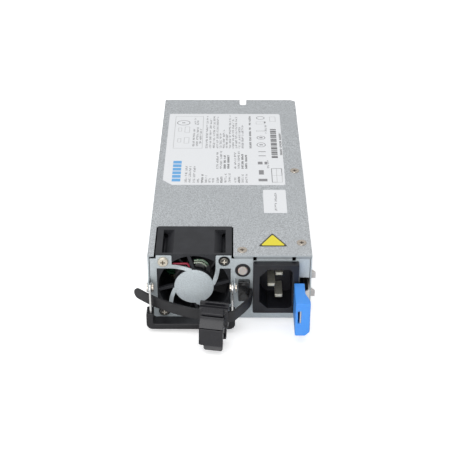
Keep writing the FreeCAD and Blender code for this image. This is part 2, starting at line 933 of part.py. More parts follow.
def fan_frame():
    """Square frame with a round bore, corner posts, motor base, struts and bearing tube."""
    body = new_body("fan_frame")
    centre = (fan_x, fan_z)
    square = rectangle(-fan_half, -fan_half, fan_half, fan_half)
    flat = s.fan_flat / 2
    octagon = polygon([(-flat, -fan_half), (flat, -fan_half), (fan_half, -flat), (fan_half, flat),
                       (flat, fan_half), (-flat, fan_half), (-fan_half, flat), (-fan_half, -flat)])
    pad(body, "XZ_Plane", panel_back, panel_back + s.fan_flange, [square], centre)
    pad(body, "XZ_Plane", panel_back, fan_rear, [octagon], centre)
    pad(body, "XZ_Plane", fan_rear - s.fan_flange, fan_rear, [square], centre)
    post = rectangle(fan_half - s.fan_post, fan_half - s.fan_post, fan_half, fan_half)
    around(body, pad(body, "XZ_Plane", panel_back, fan_rear, [post], centre), 4)
    bore = circle(0, 0, s.fan_bore / 2)
    pocket(body, "XZ_Plane", panel_back, fan_rear, [bore], centre)
    base_start = panel_back + s.motor_base_inset
    base_end = base_start + s.motor_base_depth
    tube_end = base_end + s.hub_depth - s.shaft_boss_depth - s.hub_wall - 1
    pad(body, "XZ_Plane", base_start, base_end, [circle(0, 0, s.motor_base / 2)], centre)
    half_strut = s.strut_width / 2
    reach = s.fan_bore / 2 + half_strut
    strut = polygon([(-half_strut, s.motor_base / 2 - 1), (half_strut, s.motor_base / 2 - 1),
                     (half_strut - s.strut_slant, reach), (-half_strut - s.strut_slant, reach)])
    around(body, pad(body, "XZ_Plane", base_start, base_end, [strut], centre), 4)
    pad(body, "XZ_Plane", base_end, tube_end, [circle(0, 0, s.tube_diameter / 2)], centre)
    pocket(body, "XZ_Plane", base_end, tube_end, [circle(0, 0, s.bearing_diameter / 2)], centre)
    pitch = s.fan_pitch / 2
    holes = [circle(x * pitch, y * pitch, s.screw_shank / 2)
             for x, y in ((-1, -1), (1, -1), (1, 1), (-1, 1))]
    pocket(body, "XZ_Plane", panel_back, fan_rear, holes, centre)
    return base_end, tube_end


def fan_bearings(base_end, tube_end):
    """Two ball bearings in the tube, each drawn as one ring."""
    bore = s.shaft_diameter / 2 + s.shaft_clearance
    starts = (base_end + 1, tube_end - s.bearing_depth)
    rings = [ring(f"bearing_{number}", "Y", (fan_x, fan_z), bore, s.bearing_diameter / 2,
                  start, start + s.bearing_depth) for number, start in enumerate(starts)]
    group("fan_bearings", rings)


def fan_stator(base_end):
    """Laminated core with four shoed poles on the bearing tube."""
    body = new_body("fan_stator")
    centre = (fan_x, fan_z)
    start = base_end + s.stator_standoff
    end = start + s.stator_depth
    outer = s.stator_diameter / 2
    pad(body, "XZ_Plane", start, end, [circle(0, 0, s.stator_core / 2)], centre)
    stem = s.pole_width / 2
    shoe = s.pole_width * 1.3
    pole = polygon([(-stem, s.tube_diameter / 2), (stem, s.tube_diameter / 2),
                    (stem, outer - s.pole_shoe), (shoe, outer - s.pole_shoe),
                    (shoe * 0.9, outer - 0.4), (0, outer), (-shoe * 0.9, outer - 0.4),
                    (-shoe, outer - s.pole_shoe), (-stem, outer - s.pole_shoe)])
    around(body, pad(body, "XZ_Plane", start, end, [pole], centre), 4)
    pocket(body, "XZ_Plane", start, end, [circle(0, 0, s.tube_diameter / 2)], centre)


def fan_impeller():
    """Hub cup with twisted blades, trimmed to the bore less its clearance."""
    body = new_body("fan_impeller")
    centre = (fan_x, fan_z)
    start = panel_back + s.hub_setback
    end = start + s.hub_depth
    hub = s.hub_diameter / 2
    tip = s.fan_bore / 2 - s.blade_clearance
    pad(body, "XZ_Plane", start, end, [circle(0, 0, hub)], centre)
    sections = [new_sketch(body, "YZ_Plane", fan_x + radius,
                           [blade_section(start + s.blade_inset, end - s.blade_inset, sweep)])
                for radius, sweep in ((hub - 3, s.blade_root_sweep), (tip + 1, s.blade_tip_sweep))]
    loft = body.newObject("PartDesign::AdditiveLoft", "blade")
    loft.Profile = sections[0]
    loft.Sections = [sections[1]]
    loft.Ruled = True
    doc.recompute()
    axis = new_sketch(body, "XZ_Plane", start, [circle(0, 0, 1)], centre)
    axis.Visibility = False
    pattern = body.newObject("PartDesign::PolarPattern", "blades")
    pattern.Originals = [loft]
    pattern.Axis = (axis, ["N_Axis"])
    pattern.Angle = 360
    bind(pattern, "Occurrences", s.blade_count)
    body.Tip = pattern
    trim = [circle(0, 0, tip), circle(0, 0, tip + 8)]
    pocket(body, "XZ_Plane", start, end, trim, centre)
    floor = end - s.hub_wall
    pocket(body, "XZ_Plane", start, floor, [circle(0, 0, hub - s.hub_wall)], centre)
    boss = floor - s.shaft_boss_depth
    pad(body, "XZ_Plane", boss, floor, [circle(0, 0, s.shaft_boss / 2)], centre)
    pocket(body, "XZ_Plane", boss, floor, [circle(0, 0, s.shaft_diameter / 2)], centre)
    return start, floor


def blade_section(start, end, sweep):
    """A thin cambered section from the leading to the trailing edge."""
    skin = s.blade_thickness / 2
    middle = (start + end) / 2
    low = fan_z - sweep
    high = fan_z + sweep
    bulge = fan_z + s.blade_camber
    return polygon([(start, low - skin), (middle, bulge - skin * 2), (end, high - skin),
                    (end, high + skin), (middle, bulge + skin * 2), (start, low + skin)])


def fan_rotor_core(hub_start, hub_floor, base_end):
    """The shaft in the hub's boss and the magnet ring in its wall."""
    shaft = rod("fan_shaft", "Y", (fan_x, fan_z), s.shaft_diameter / 2,
                base_end + s.running_gap, hub_floor)
    keep(shaft, "fan_shaft")
    outer = s.hub_diameter / 2 - s.hub_wall
    magnet_start = hub_start + s.magnet_setback
    keep(ring("rotor_magnet", "Y", (fan_x, fan_z), outer - s.magnet_wall, outer,
              magnet_start, magnet_start + s.magnet_depth), "rotor_magnet")


def fan_leads():
    """Three insulated leads from the motor base to the frame's wall, in front of the blades."""
    y = (panel_back + s.motor_base_inset + s.lead_diameter / 2).value
    routes = (
        [(-2.4, 11.1), (-3.2, 13.3), (-11.4, 13.3)],
        [(0.3, 15.4), (3.6, 15.9), (6.9, 13.6), (8.2, 8.2)],
        [(0.2, 13.9), (3.2, 14.4), (5.8, 12.6), (7.0, 9.2)],
    )
    leads = []
    for route in routes:
        points = [Vector(fan_x.value + x, y, fan_z.value + z) for x, z in route]
        leads.append(tube(points, s.lead_diameter))
    item = doc.addObject("Part::Feature", "fan_leads")
    item.Shape = Part.makeCompound(leads)
    keep(item, "fan_leads")


# ---------------------------------------------------------------- screws


def headed_screw(name, axis, centre, seat, outward, head, head_depth, shank, length):
    """A pan-head screw with a cross recess, its head seated on a face.

    The head points outward, +1 or -1 along the axis, and the shank the other way.
    """
    seat = size_of(seat)
    crown = seat + outward * head_depth
    floor = crown - outward * s.recess_depth
    tail = seat - outward * length
    ordered = sorted((seat, crown), key=lambda size: size.value)
    pin = sorted((seat, tail), key=lambda size: size.value)
    body = fuse(f"{name}_blank", [rod(f"{name}_head", axis, centre, head / 2, *ordered),
                                  rod(f"{name}_shank", axis, centre, shank / 2, *pin)])
    slots = []
    low, high = sorted((floor, crown), key=lambda size: size.value)
    for long_way, short_way in ((0, 1), (1, 0)):
        spans = [None, None]
        spans[long_way] = s.recess_length / 2
        spans[short_way] = s.recess_width / 2
        lows = [centre[0] - spans[0], centre[1] - spans[1]]
        highs = [centre[0] + spans[0], centre[1] + spans[1]]
        place = {"X": 0, "Y": 1, "Z": 2}[axis]
        lows.insert(place, low)
        highs.insert(place, high)
        slots.append(block(f"{name}_slot", lows, highs))
    return cut(name, body, slots)


def fan_screws():
    """Four screws into the fan's corners: one clamps a tab, three sit in wide holes."""
    pitch = s.fan_pitch / 2
    screws = []
    for across, up in ((-1, 1), (1, 1), (-1, -1), (1, -1)):
        clamped = (across, up) == (-1, 1)
        seat = front if clamped else panel_back
        centre = (fan_x + across * pitch, fan_z + up * pitch)
        screws.append(headed_screw("fan_screw", "Y", centre, seat, -1, s.screw_head,
                                   s.screw_head_depth, s.screw_shank, s.screw_length))
    group("fan_screws", screws)


def cover_screws():
    """Three low screws in the cover."""
    screws = [headed_screw("cover_screw", "Z", (size_of(x), front + y), s.height, 1,
                           s.cover_screw_head, s.cover_screw_proud, s.cover_screw_shank,
                           s.cover_screw_length) for x, y in COVER_SCREWS]
    group("cover_screws", screws)


# ---------------------------------------------------------------- mains inlet


def inlet_housing():
    """Moulded inlet with a proud rim, a rear shell and the keyed socket."""
    body = new_body("inlet_housing")
    centre = (s.inlet_centre, s.inlet_rise)
    face = front - s.inlet_proud
    wide = s.inlet_width / 2
    tall = s.inlet_tall / 2
    pad(body, "XZ_Plane", face, front, [rectangle(-wide, -tall, wide, tall)], centre)
    inner_wide = wide - s.inlet_shoulder
    inner_tall = tall - s.inlet_shoulder
    shell = rectangle(-inner_wide, -inner_tall, inner_wide, inner_tall)
    back = front + s.inlet_depth
    pad(body, "XZ_Plane", front, back, [shell], centre)
    left = -s.socket_width / 2
    right = s.socket_width / 2
    low = -s.socket_tall / 2
    high = s.socket_tall / 2
    socket = polygon([(left, low + s.socket_cut), (left + s.socket_cut, low), (right, low),
                      (right, high), (left + s.socket_cut, high), (left, high - s.socket_cut)])
    floor = face + s.socket_depth
    pocket(body, "XZ_Plane", face, floor, [socket], centre)
    slots = [rectangle(x - s.blade_width / 2, z - s.blade_tall / 2,
                       x + s.blade_width / 2, z + s.blade_tall / 2) for x, z in blade_places()]
    pocket(body, "XZ_Plane", floor, back, slots, centre)
    round_edges(body, 1, [(s.inlet_centre + right, s.inlet_rise + low),
                          (s.inlet_centre + right, s.inlet_rise + high)], s.socket_round)
    corners = [(s.inlet_centre + x * wide, s.inlet_rise + z * tall)
               for x, z in ((-1, -1), (1, -1), (1, 1), (-1, 1))]
    round_edges(body, 1, corners, s.inlet_rim_round)
    return floor, back


def blade_places():
    """Places of the earth, live and neutral blades from the socket's centre."""
    return ((-s.earth_shift, size_of(0)), (s.live_shift, s.live_pitch / 2),
            (s.live_shift, -s.live_pitch / 2))


def inlet_blades(floor, back):
    """Three flat blades with bevelled tips and solder tails behind the housing."""
    pieces = []
    tip = front - s.inlet_proud + s.blade_setback
    for number, (x, z) in enumerate(blade_places()):
        centre_x = s.inlet_centre + x
        centre_z = s.inlet_rise + z
        blade = block(f"blade_{number}",
                      (centre_x - s.blade_width / 2, tip, centre_z - s.blade_tall / 2),
                      (centre_x + s.blade_width / 2, back + s.blade_tail,
                       centre_z + s.blade_tall / 2))
        bevel = doc.addObject("Part::Chamfer", f"blade_bevel_{number}")
        bevel.Base = blade
        doc.recompute()
        edges = [index for index, edge in enumerate(blade.Shape.Edges, start=1)
                 if max(abs(vertex.Point.y - tip.value) for vertex in edge.Vertexes) < 0.001]
        size = s.blade_tip_chamfer.value
        bevel.Edges = [(index, size, size) for index in edges]
        pieces.append(bevel)
    group("inlet_blades", pieces)


# ---------------------------------------------------------------- lamp and anchor


def status_lamp():
    """Frosted lens with a domed edge in a dark ring."""
    centre = (s.lamp_across, s.lamp_rise)
    lens = rod("lamp_lens", "Y", centre, s.lamp_diameter / 2,
               front - s.lamp_proud, front + s.lamp_depth)
    keep(lens, "status_lamp")
    keep(ring("lamp_bezel", "Y", centre, s.lamp_diameter / 2, s.lamp_ring / 2,
              front - s.ring_proud, panel_back + s.bezel_tail), "lamp_bezel")


def strap_anchor():
    """Snap-in block that holds the strap's root, with two round bosses."""
    body = new_body("strap_anchor")
    left = s.anchor_across - s.anchor_width / 2
    right = s.anchor_across + s.anchor_width / 2
    high = s.anchor_low + s.anchor_tall
    face = front - s.anchor_proud
    outline = rectangle(left, s.anchor_low, right, high)
    pad(body, "XZ_Plane", face, front, [outline])
    neck = rectangle(left + s.anchor_neck, s.anchor_low + s.anchor_neck,
                     right - s.anchor_neck, high - s.anchor_neck)
    pad(body, "XZ_Plane", front, front + s.anchor_depth, [neck])
    middle = s.anchor_low + s.anchor_tall / 2
    bosses = [circle(s.anchor_across, middle + side * s.boss_pitch / 2, s.boss_diameter / 2)
              for side in (-1, 1)]
    pad(body, "XZ_Plane", face - s.boss_proud, face, bosses)
    round_edges(body, 1, [(left, s.anchor_low), (right, s.anchor_low), (left, high),
                          (right, high)], s.anchor_neck)


# ---------------------------------------------------------------- handle


def handle_pivots():
    """Two rivets that carry the handle's arms on the ears."""
    centre = (front - s.pivot_reach, s.pivot_rise)
    slack = s.running_gap * 0.7
    rivets = []
    left_arm_inner = left_arm_x + s.arm_sheet
    sides = (
        (-half - s.pivot_head_depth, -half, left_arm_inner + slack),
        (s.ear_across + s.sheet, s.ear_across + s.sheet + s.pivot_head_depth,
         right_arm_x - slack - s.pivot_head_depth),
    )
    for number, (head_start, head_end, inner_start) in enumerate(sides):
        inner_end = inner_start + s.pivot_head_depth
        shank = (head_end, inner_start) if number == 0 else (inner_end, head_start)
        rivets.append(fuse(f"pivot_{number}", [
            rod(f"pivot_{number}_head", "X", centre, s.pivot_head / 2, head_start, head_end),
            rod(f"pivot_{number}_shank", "X", centre, s.pivot_diameter / 2, *shank),
            rod(f"pivot_{number}_inner", "X", centre, s.pivot_head / 2, inner_start, inner_end)]))
    group("handle_pivots", rivets)


def handle_arm(label, left):
    """A flat steel arm: pivot lobe, top limb and front limb down into the grip."""
    body = new_body(label)
    right = left + s.arm_sheet
    lobe_y = front - s.pivot_reach
    limb_front = front - s.arm_front
    limb_back = limb_front + s.arm_limb
    shoulder = s.arm_top - s.arm_limb - s.arm_shoulder
    outline = polygon([(lobe_y, s.pivot_rise - s.arm_lobe), (lobe_y, s.pivot_rise + s.arm_lobe),
                       (limb_back, s.arm_top), (limb_front, s.arm_top), (limb_front, s.arm_low),
                       (limb_back, s.arm_low), (limb_back, shoulder)])
    pad(body, "YZ_Plane", left, right, [outline])
    pad(body, "YZ_Plane", left, right, [circle(lobe_y, s.pivot_rise, s.arm_lobe)])
    bore = circle(lobe_y, s.pivot_rise, s.pivot_diameter / 2 + s.pivot_clearance)
    pocket(body, "YZ_Plane", left, right, [bore])
    round_edges(body, 0, [(limb_front, s.arm_top)], s.arm_limb - s.fit_gap)
    round_edges(body, 0, [(limb_back, shoulder)], s.arm_limb / 2)


def handle_grip():
    """Moulded U-shaped grip with sockets for the arms' ends."""
    body = new_body("handle_grip")
    left = -s.grip_left
    right = s.grip_right
    low = s.grip_low
    high = s.grip_low + s.grip_tall
    back = front - s.grip_rear
    face = back - s.grip_depth
    bar = low + s.grip_bar
    outline = polygon([(left, low), (right, low), (right, high), (right - s.grip_leg, high),
                       (right - s.grip_leg, bar), (left + s.grip_leg, bar),
                       (left + s.grip_leg, high), (left, high)])
    pad(body, "XZ_Plane", face, back, [outline])
    limb_front = front - s.arm_front
    for start in (left_arm_x, right_arm_x):
        socket = rectangle(start, s.arm_low, start + s.arm_sheet, high)
        pocket(body, "XZ_Plane", limb_front, limb_front + s.arm_limb, [socket])
    round_edges(body, 1, [(left, low), (right, low)], s.grip_round)
    round_edges(body, 1, [(left + s.grip_leg, bar), (right - s.grip_leg, bar)],
                s.grip_inner_round)
    round_edges(body, 0, [(face, bar)], s.grip_edge)
    round_edges(body, 1, [(left, high), (right, high)], s.grip_edge)


# ---------------------------------------------------------------- strap and clip

STRAP_ROUTE = (
    (11.3, 0.6),
    (11.3, 6.4),
    (8.4, 12.4),
    (4.4, 18.0),
    (0.9, 22.95),
    (-16.6, 19.8),
    (-25.0, 16.9),
    (-33.4, 12.4),
    (-41.4, 7.6),
    (-50.4, -0.6),
)


def cord_strap():
    """Flat nylon strap from its anchor round the front of the handle to a free tip."""
    points = [Vector(x, front.value - reach, 0) for x, reach in STRAP_ROUTE]
    path = rounded_path(points)
    half_thick = s.strap_thickness.value / 2
    band = offset_band(path, half_thick).extrude(Vector(0, 0, s.strap_height.value))
    tip = points[-1]
    heading = (points[-1] - points[-2]).normalize()
    ends = [edge for edge in band.Edges if is_tip_edge(edge, tip, heading, half_thick)]
    band = band.makeFillet(s.strap_tip_round.value, ends)
    item = doc.addObject("Part::Feature", "cord_strap")
    item.Shape = band
    item.Placement = FreeCAD.Placement(Vector(0, 0, s.strap_low.value), FreeCAD.Rotation())
    print("strap length", round(path.Length, 1))
    keep(item, "cord_strap")


def offset_band(path, half_thick):
    """The face between a flat path moved to its left and to its right."""
    sides = []
    for sign in (1, -1):
        edges = []
        for edge in path.Edges:
            start, end = edge.Vertexes[0].Point, edge.Vertexes[-1].Point
            middle = edge.valueAt((edge.FirstParameter + edge.LastParameter) / 2)
            places = [start, middle, end]
            if edge.Curve.TypeId == "Part::GeomLine":
                across = (end - start).normalize().cross(Vector(0, 0, 1)) * sign * half_thick
                edges.append(Part.LineSegment(start + across, end + across).toShape())
            else:
                centre = edge.Curve.Center
                turning = (middle - start).cross(end - middle).z
                grow = half_thick * sign * (1 if turning > 0 else -1)
                radius = edge.Curve.Radius
                moved = [centre + (place - centre) * ((radius + grow) / radius) for place in places]
                edges.append(Part.Arc(*moved).toShape())
        sides.append(edges)
    first = Part.Wire(sides[0])
    second = Part.Wire(sides[1])
    caps = []
    for index in (0, -1):
        start = sides[0][index].Vertexes[index].Point
        end = sides[1][index].Vertexes[index].Point
        caps.append(Part.LineSegment(start, end).toShape())
    outline = Part.Wire(Part.__sortEdges__(first.Edges + second.Edges + caps))
    return Part.Face(outline)


def is_tip_edge(edge, tip, heading, half_thick):
    """Whether an edge crosses the strap's thickness at its free end."""
    if edge.Curve.TypeId != "Part::GeomLine" or abs(edge.Length - 2 * half_thick) > 0.001:
        return False
    middle = (edge.Vertexes[0].Point + edge.Vertexes[1].Point) * 0.5
    return abs((middle - tip).dot(heading)) < 0.01


# Outlines of the clip, as forward and up distances: the housing's swept front from its
# ledge at the strap's middle, the swinging jaw's parts from its hinge
SWEPT_FRONT = [(0, 1.9), (1.9, 1.9), (1.95, 3.0), (2.7, 2.75), (4.0, 1.3), (5.1, -0.4),
               (5.8, -1.95), (5.8, -2.2)]
FRONT_FOOT = [(4.8, -2.5), (2.9, -3.0)]
JAW_ARM = [(0.6, -1.0), (1.3, 0.9), (3.0, 1.1), (3.3, 0), (3.4, -1.5), (2.6, -3.0), (0.9, -2.15)]
JAW_SHELL = [(2.2, 0.8), (3.0, 1.1), (3.3, 0), (3.4, -1.5), (3.5, -3.5), (3.7, -5.6),
             (4.0, -7.7), (4.0, -8.4), (2.7, -8.9), (2.6, -8.0), (2.2, -5.8), (1.5, -3.6),
             (0.9, -2.15), (1.75, -1.6), (2.35, -0.5)]
JAW_LIP = [(2.8, -8.1), (3.9, -8.0), (4.9, -10.2), (4.3, -10.8), (2.7, -8.9)]
JAW_TOOTH = [(2.8, -7.9), (1.4, -7.6), (2.4, -6.5)]
ARC_STEPS = 6


def clip_body(label):
    """A body in the clip's own frame: X along the strap, origin under its centre line."""
    body = new_body(label)
    turn = FreeCAD.Rotation(Vector(0, 0, 1), -s.clip_yaw.value)
    body.Placement = FreeCAD.Placement(Vector(), turn)
    bind(body, "Placement.Base.x", -s.clip_across)
    bind(body, "Placement.Base.y", front - s.clip_reach)
    return body


def clip_section(points):
    """An outline across the strap from forward and up distances."""
    return polygon([(-size_of(forward), up) for forward, up in points])


def clip_centre():
    """Places in the clip's section: strap middle, hinge and loop centre."""
    strap_mid = s.strap_low + s.strap_height / 2
    hinge = (s.knuckle_forward, strap_mid - s.knuckle_drop)
    loop = (s.loop_forward, strap_mid - s.loop_drop)
    return strap_mid, hinge, loop


def clip_housing():
    """Clip body: strap channel, thumb ledge, hinge lugs and the curved back jaw."""
    body = clip_body("clip_housing")
    strap_mid, hinge, loop = clip_centre()
    wide = s.clip_width / 2
    jaw = s.jaw_width / 2
    knuckle = s.knuckle_width / 2
    channel = s.strap_thickness / 2 + s.clip_gap
    channel_low = s.strap_low - s.clip_gap
    channel_high = s.strap_low + s.strap_height + s.clip_gap
    back = channel + s.clip_wall
    ledge = channel + s.ledge_reach
    roof = channel_high + s.clip_top_wall
    floor = channel_low - s.clip_top_wall
    slope = s.clip_slope
    brow = ledge - slope
    crest = roof + s.clip_ridge
    ridge = [(-back, floor), (-back, crest), (-back + s.ridge_top, crest),
             (-back + s.ridge_foot, roof)]
    sweep = [(ledge + forward, strap_mid + up) for forward, up in SWEPT_FRONT + FRONT_FOOT]
    box = clip_section(ridge + [(brow, roof), (ledge, roof - slope)] + sweep
                       + [(ledge + s.chin_edge, floor + s.chin_edge), (ledge, floor)])
    pad(body, "YZ_Plane", -jaw, jaw, [box])
    cheek = channel + s.cheek_wall
    cheeks = clip_section(ridge + [(brow, roof), (cheek, roof + brow - cheek), (cheek, floor)])
    pad(body, "YZ_Plane", -wide, wide, [cheeks])
    lug = circle(-hinge[0], hinge[1], s.knuckle_radius)
    for start, end in ((-jaw, -knuckle), (knuckle, jaw)):
        pad(body, "YZ_Plane", start, end, [lug])
    back_jaw(body, loop, jaw)
    slot = clip_section([(-channel, channel_low), (-channel, channel_high),
                         (channel, channel_high), (channel, channel_low)])
    pocket(body, "YZ_Plane", -wide, wide, [slot])
    relief = circle(-hinge[0], hinge[1], s.knuckle_radius + s.running_gap)
    pocket(body, "YZ_Plane", -knuckle, knuckle, [relief])
    pin_hole = circle(-hinge[0], hinge[1], s.clip_pin / 2)
    pocket(body, "YZ_Plane", -jaw, -knuckle, [pin_hole])
    pocket(body, "YZ_Plane", knuckle, jaw, [pin_hole])


def back_jaw(body, loop, jaw):
    """The fixed half of the cord loop, from the housing's floor to a round knob."""
    start = math.radians(s.loop_start.value)
    end = math.radians(s.loop_end.value)
    mid = s.loop_radius + s.loop_wall / 2
    points = []
    for radius, order in ((s.loop_radius, range(ARC_STEPS + 1)),
                          (s.loop_radius + s.loop_wall, range(ARC_STEPS, -1, -1))):
        for step in order:
            angle = start + (end - start) * step / ARC_STEPS
            points.append((loop[0] + radius * math.cos(angle), loop[1] + radius * math.sin(angle)))
    pad(body, "YZ_Plane", -jaw, jaw, [clip_section(points)])
    knob_x = loop[0] + mid * math.cos(end)
    knob_z = loop[1] + mid * math.sin(end)
    pad(body, "YZ_Plane", -jaw, jaw, [circle(-knob_x, knob_z, s.knob_radius)])


def clip_jaw():
    """The swinging half of the loop: knuckle, full-width shell, finger lip and tooth."""
    body = clip_body("clip_jaw")
    x, z = clip_centre()[1]
    knuckle = s.knuckle_width / 2 - s.fit_gap
    jaw = s.jaw_width / 2
    pad(body, "YZ_Plane", -knuckle, knuckle, [circle(-x, z, s.knuckle_radius)])
    for outline, start, end in ((JAW_ARM, -knuckle, knuckle), (JAW_SHELL, -jaw, jaw),
                                (JAW_LIP, s.lip_setback - jaw, jaw),
                                (JAW_TOOTH, knuckle - s.tooth_overlap, jaw)):
        shape = clip_section([(x + forward, z + up) for forward, up in outline])
        pad(body, "YZ_Plane", start, end, [shape])
    bore = circle(-x, z, s.clip_pin / 2 + s.pivot_clearance)
    pocket(body, "YZ_Plane", -knuckle, knuckle, [bore])


def clip_pin():
    """The hinge pin of the swinging jaw."""
    body = clip_body("clip_pin")
    hinge = clip_centre()[1]
    jaw = s.jaw_width / 2
    pad(body, "YZ_Plane", -jaw, jaw, [circle(-hinge[0], hinge[1], s.clip_pin / 2)])


def clip_lever():
    """Thumb lever that lifts the pawl off the strap."""
    body = clip_body("clip_lever")
    channel = s.strap_thickness / 2 + s.clip_gap
    ledge = channel + s.ledge_reach
    roof = s.strap_low + s.strap_height + s.clip_gap + s.clip_top_wall
    wide = s.lever_width / 2
    lift = s.running_gap
    rise = s.lever_thickness * s.lever_bevel
    start = (ledge - s.clip_slope + lift, roof + lift)
    end = (ledge + lift + s.lever_overhang, roof - s.clip_slope + lift - s.lever_overhang)
    thick = s.lever_thickness * s.lever_foot
    foot = [(end[0] + thick, end[1] + s.lever_drop), (end[0] + thick, end[1] - s.lever_drop),
            (end[0], end[1] - s.lever_drop), end]
    plate = clip_section([start, (start[0] + rise, start[1] + rise)] + foot)
    pad(body, "YZ_Plane", -wide, wide, [plate])
    barrel = s.lever_thickness * s.lever_foot / 2
    pad(body, "YZ_Plane", -wide, wide, [circle(-(end[0] + barrel), end[1] - s.lever_drop, barrel)])


# ---------------------------------------------------------------- side latch


def latch_spring():
    """Steel strip along the right wall with two teeth, a jog and a tongue."""
    body = new_body("latch_spring")
    tail = latch_pivot_y + s.latch_tail
    high = s.latch_low + s.latch_tall
    jog = front - s.latch_jog_start
    slope = s.latch_sheet * s.jog_slope
    jog_end = jog - s.latch_jog
    foot = jog_end - s.jog_foot
    strip = polygon([(latch_right, tail), (latch_left, tail), (latch_left, jog + slope / 2),
                     (latch_left - s.latch_jog, jog_end + slope / 2),
                     (latch_left - s.latch_jog, foot),
                     (latch_right - s.latch_jog, foot),
                     (latch_right - s.latch_jog, jog_end - slope / 2),
                     (latch_right, jog - slope / 2)])
    pad(body, "XY_Plane", s.latch_low, high, [strip])
    tongue_left = latch_left - s.latch_jog
    tongue = rectangle(tongue_left, front - s.tab_start - s.tab_length + s.tongue_recess,
                       tongue_left + s.latch_sheet, jog_end)
    pad(body, "XY_Plane", s.tongue_low, s.tongue_low + s.tongue_tall, [tongue])
    tooth_front = front + s.tooth_start
    tooth_end = tooth_front + s.tooth_length
    crest = half + s.tooth_reach
    tooth = polygon([(latch_right, tooth_front), (crest, tooth_front),
                     (crest, tooth_front + s.tooth_tip), (latch_right, tooth_end)])
    for rise in (s.tooth_low_rise, s.tooth_high_rise):
        pad(body, "XY_Plane", rise - s.tooth_tall / 2, rise + s.tooth_tall / 2, [tooth])
    holes = [circle(latch_pivot_y, rise, s.rivet_diameter / 2 + s.latch_clearance)
             for rise in (s.rivet_low_rise, s.rivet_high_rise)]
    pocket(body, "YZ_Plane", latch_left, latch_right, holes)


def latch_rivets():
    """Two rivets that hold the strip's rear end to the wall."""
    rivets = []
    for number, rise in enumerate((s.rivet_low_rise, s.rivet_high_rise)):
        centre = (latch_pivot_y, rise)
        head_end = latch_left - s.latch_clearance
        head_start = head_end - s.rivet_head_depth
        rivets.append(fuse(f"rivet_{number}", [
            rod(f"rivet_{number}_shank", "X", centre, s.rivet_diameter / 2, head_end, half),
            rod(f"rivet_{number}_head", "X", centre, s.rivet_head / 2, head_start, head_end)]))
    group("latch_rivets", rivets)


def release_tab():
    """Moulded tab on the strip's tongue, hollow at the rear where the jog enters."""
    body = new_body("release_tab")
    start = front - s.tab_start
    end = start - s.tab_length
    high = s.tab_low + s.tab_tall
    neck = front - s.tab_neck_end
    swell = front - s.tab_swell_end
    outline = polygon([(s.tab_left, start), (s.tab_left, end), (s.tab_wide, end),
                       (s.tab_wide, swell), (s.tab_narrow, neck), (s.tab_narrow, start)])
    pad(body, "XY_Plane", s.tab_low, high, [outline])
    bevel_edges(body, 1, [(s.tab_wide, s.tab_low)], s.tab_chamfer)
    round_edges(body, 2, [(s.tab_wide, swell), (s.tab_narrow, neck)], s.tab_blend)
    jog_end = front - s.latch_jog_start - s.latch_jog
    cavity_end = jog_end - s.tab_cavity_end
    hollow = rectangle(s.tab_left + s.tab_wall, cavity_end, s.tab_narrow, start)
    pocket(body, "XY_Plane", s.latch_low - s.fit_gap, s.latch_low + s.latch_tall + s.fit_gap,
           [hollow])
    tongue_left = latch_left - s.latch_jog
    slot = rectangle(tongue_left - s.tab_slot_room, s.tongue_low, tongue_left + s.latch_sheet,
                     s.tongue_low + s.tongue_tall)
    pocket(body, "XZ_Plane", end, cavity_end, [slot])
    round_edges(body, 2, [(s.tab_left, end), (s.tab_wide, end)], s.tab_edge)


# ---------------------------------------------------------------- labels


def labels():
    """Three stickers on the cover: two white plates and a yellow triangle."""
    top = s.height + s.label_sheet
    big = new_body("rating_label")
    left, right = -s.rating_left, s.rating_right
    low, high = front + s.rating_front, front + s.rating_rear
    outline = polygon([(left, low + s.rating_cut), (left + s.rating_cut, low), (right, low),
                       (right, high), (left, high)])
    pad(big, "XY_Plane", s.height, top, [outline])
    round_edges(big, 2, [(right, low), (right, high), (left, high)], s.rating_round)
    small = new_body("small_label")
    left, right = s.small_left, s.small_right
    low, high = front + s.small_front, front + s.small_rear
    pad(small, "XY_Plane", s.height, top, [rectangle(left, low, right, high)])
    round_edges(small, 2, [(left, low), (right, low), (right, high), (left, high)],
                s.rating_round / 2)
    sticker = new_body("triangle_sticker")
    low = front + s.sticker_front
    triangle = polygon([(s.sticker_centre - s.sticker_side / 2, low),
                        (s.sticker_centre + s.sticker_side / 2, low),
                        (s.sticker_centre, low + s.sticker_deep)])
    pad(sticker, "XY_Plane", s.height, top, [triangle])
    round_edges(sticker, 2, [(s.sticker_centre - s.sticker_side / 2, low),
                             (s.sticker_centre + s.sticker_side / 2, low),
                             (s.sticker_centre, low + s.sticker_deep)], s.rating_round / 2)


# ---------------------------------------------------------------- main board


def spacer_places():
    """Centres of the six spacers under the board."""
    left = -s.board_left + s.spacer_inset
    right = s.board_right - s.spacer_inset
    near = board_front + s.spacer_inset
    far = rear - s.sheet - s.spacer_inset - s.part_gap
    middle = (near + far) / 2
    return [(x, y) for x in (left, right) for y in (near, middle, far)]


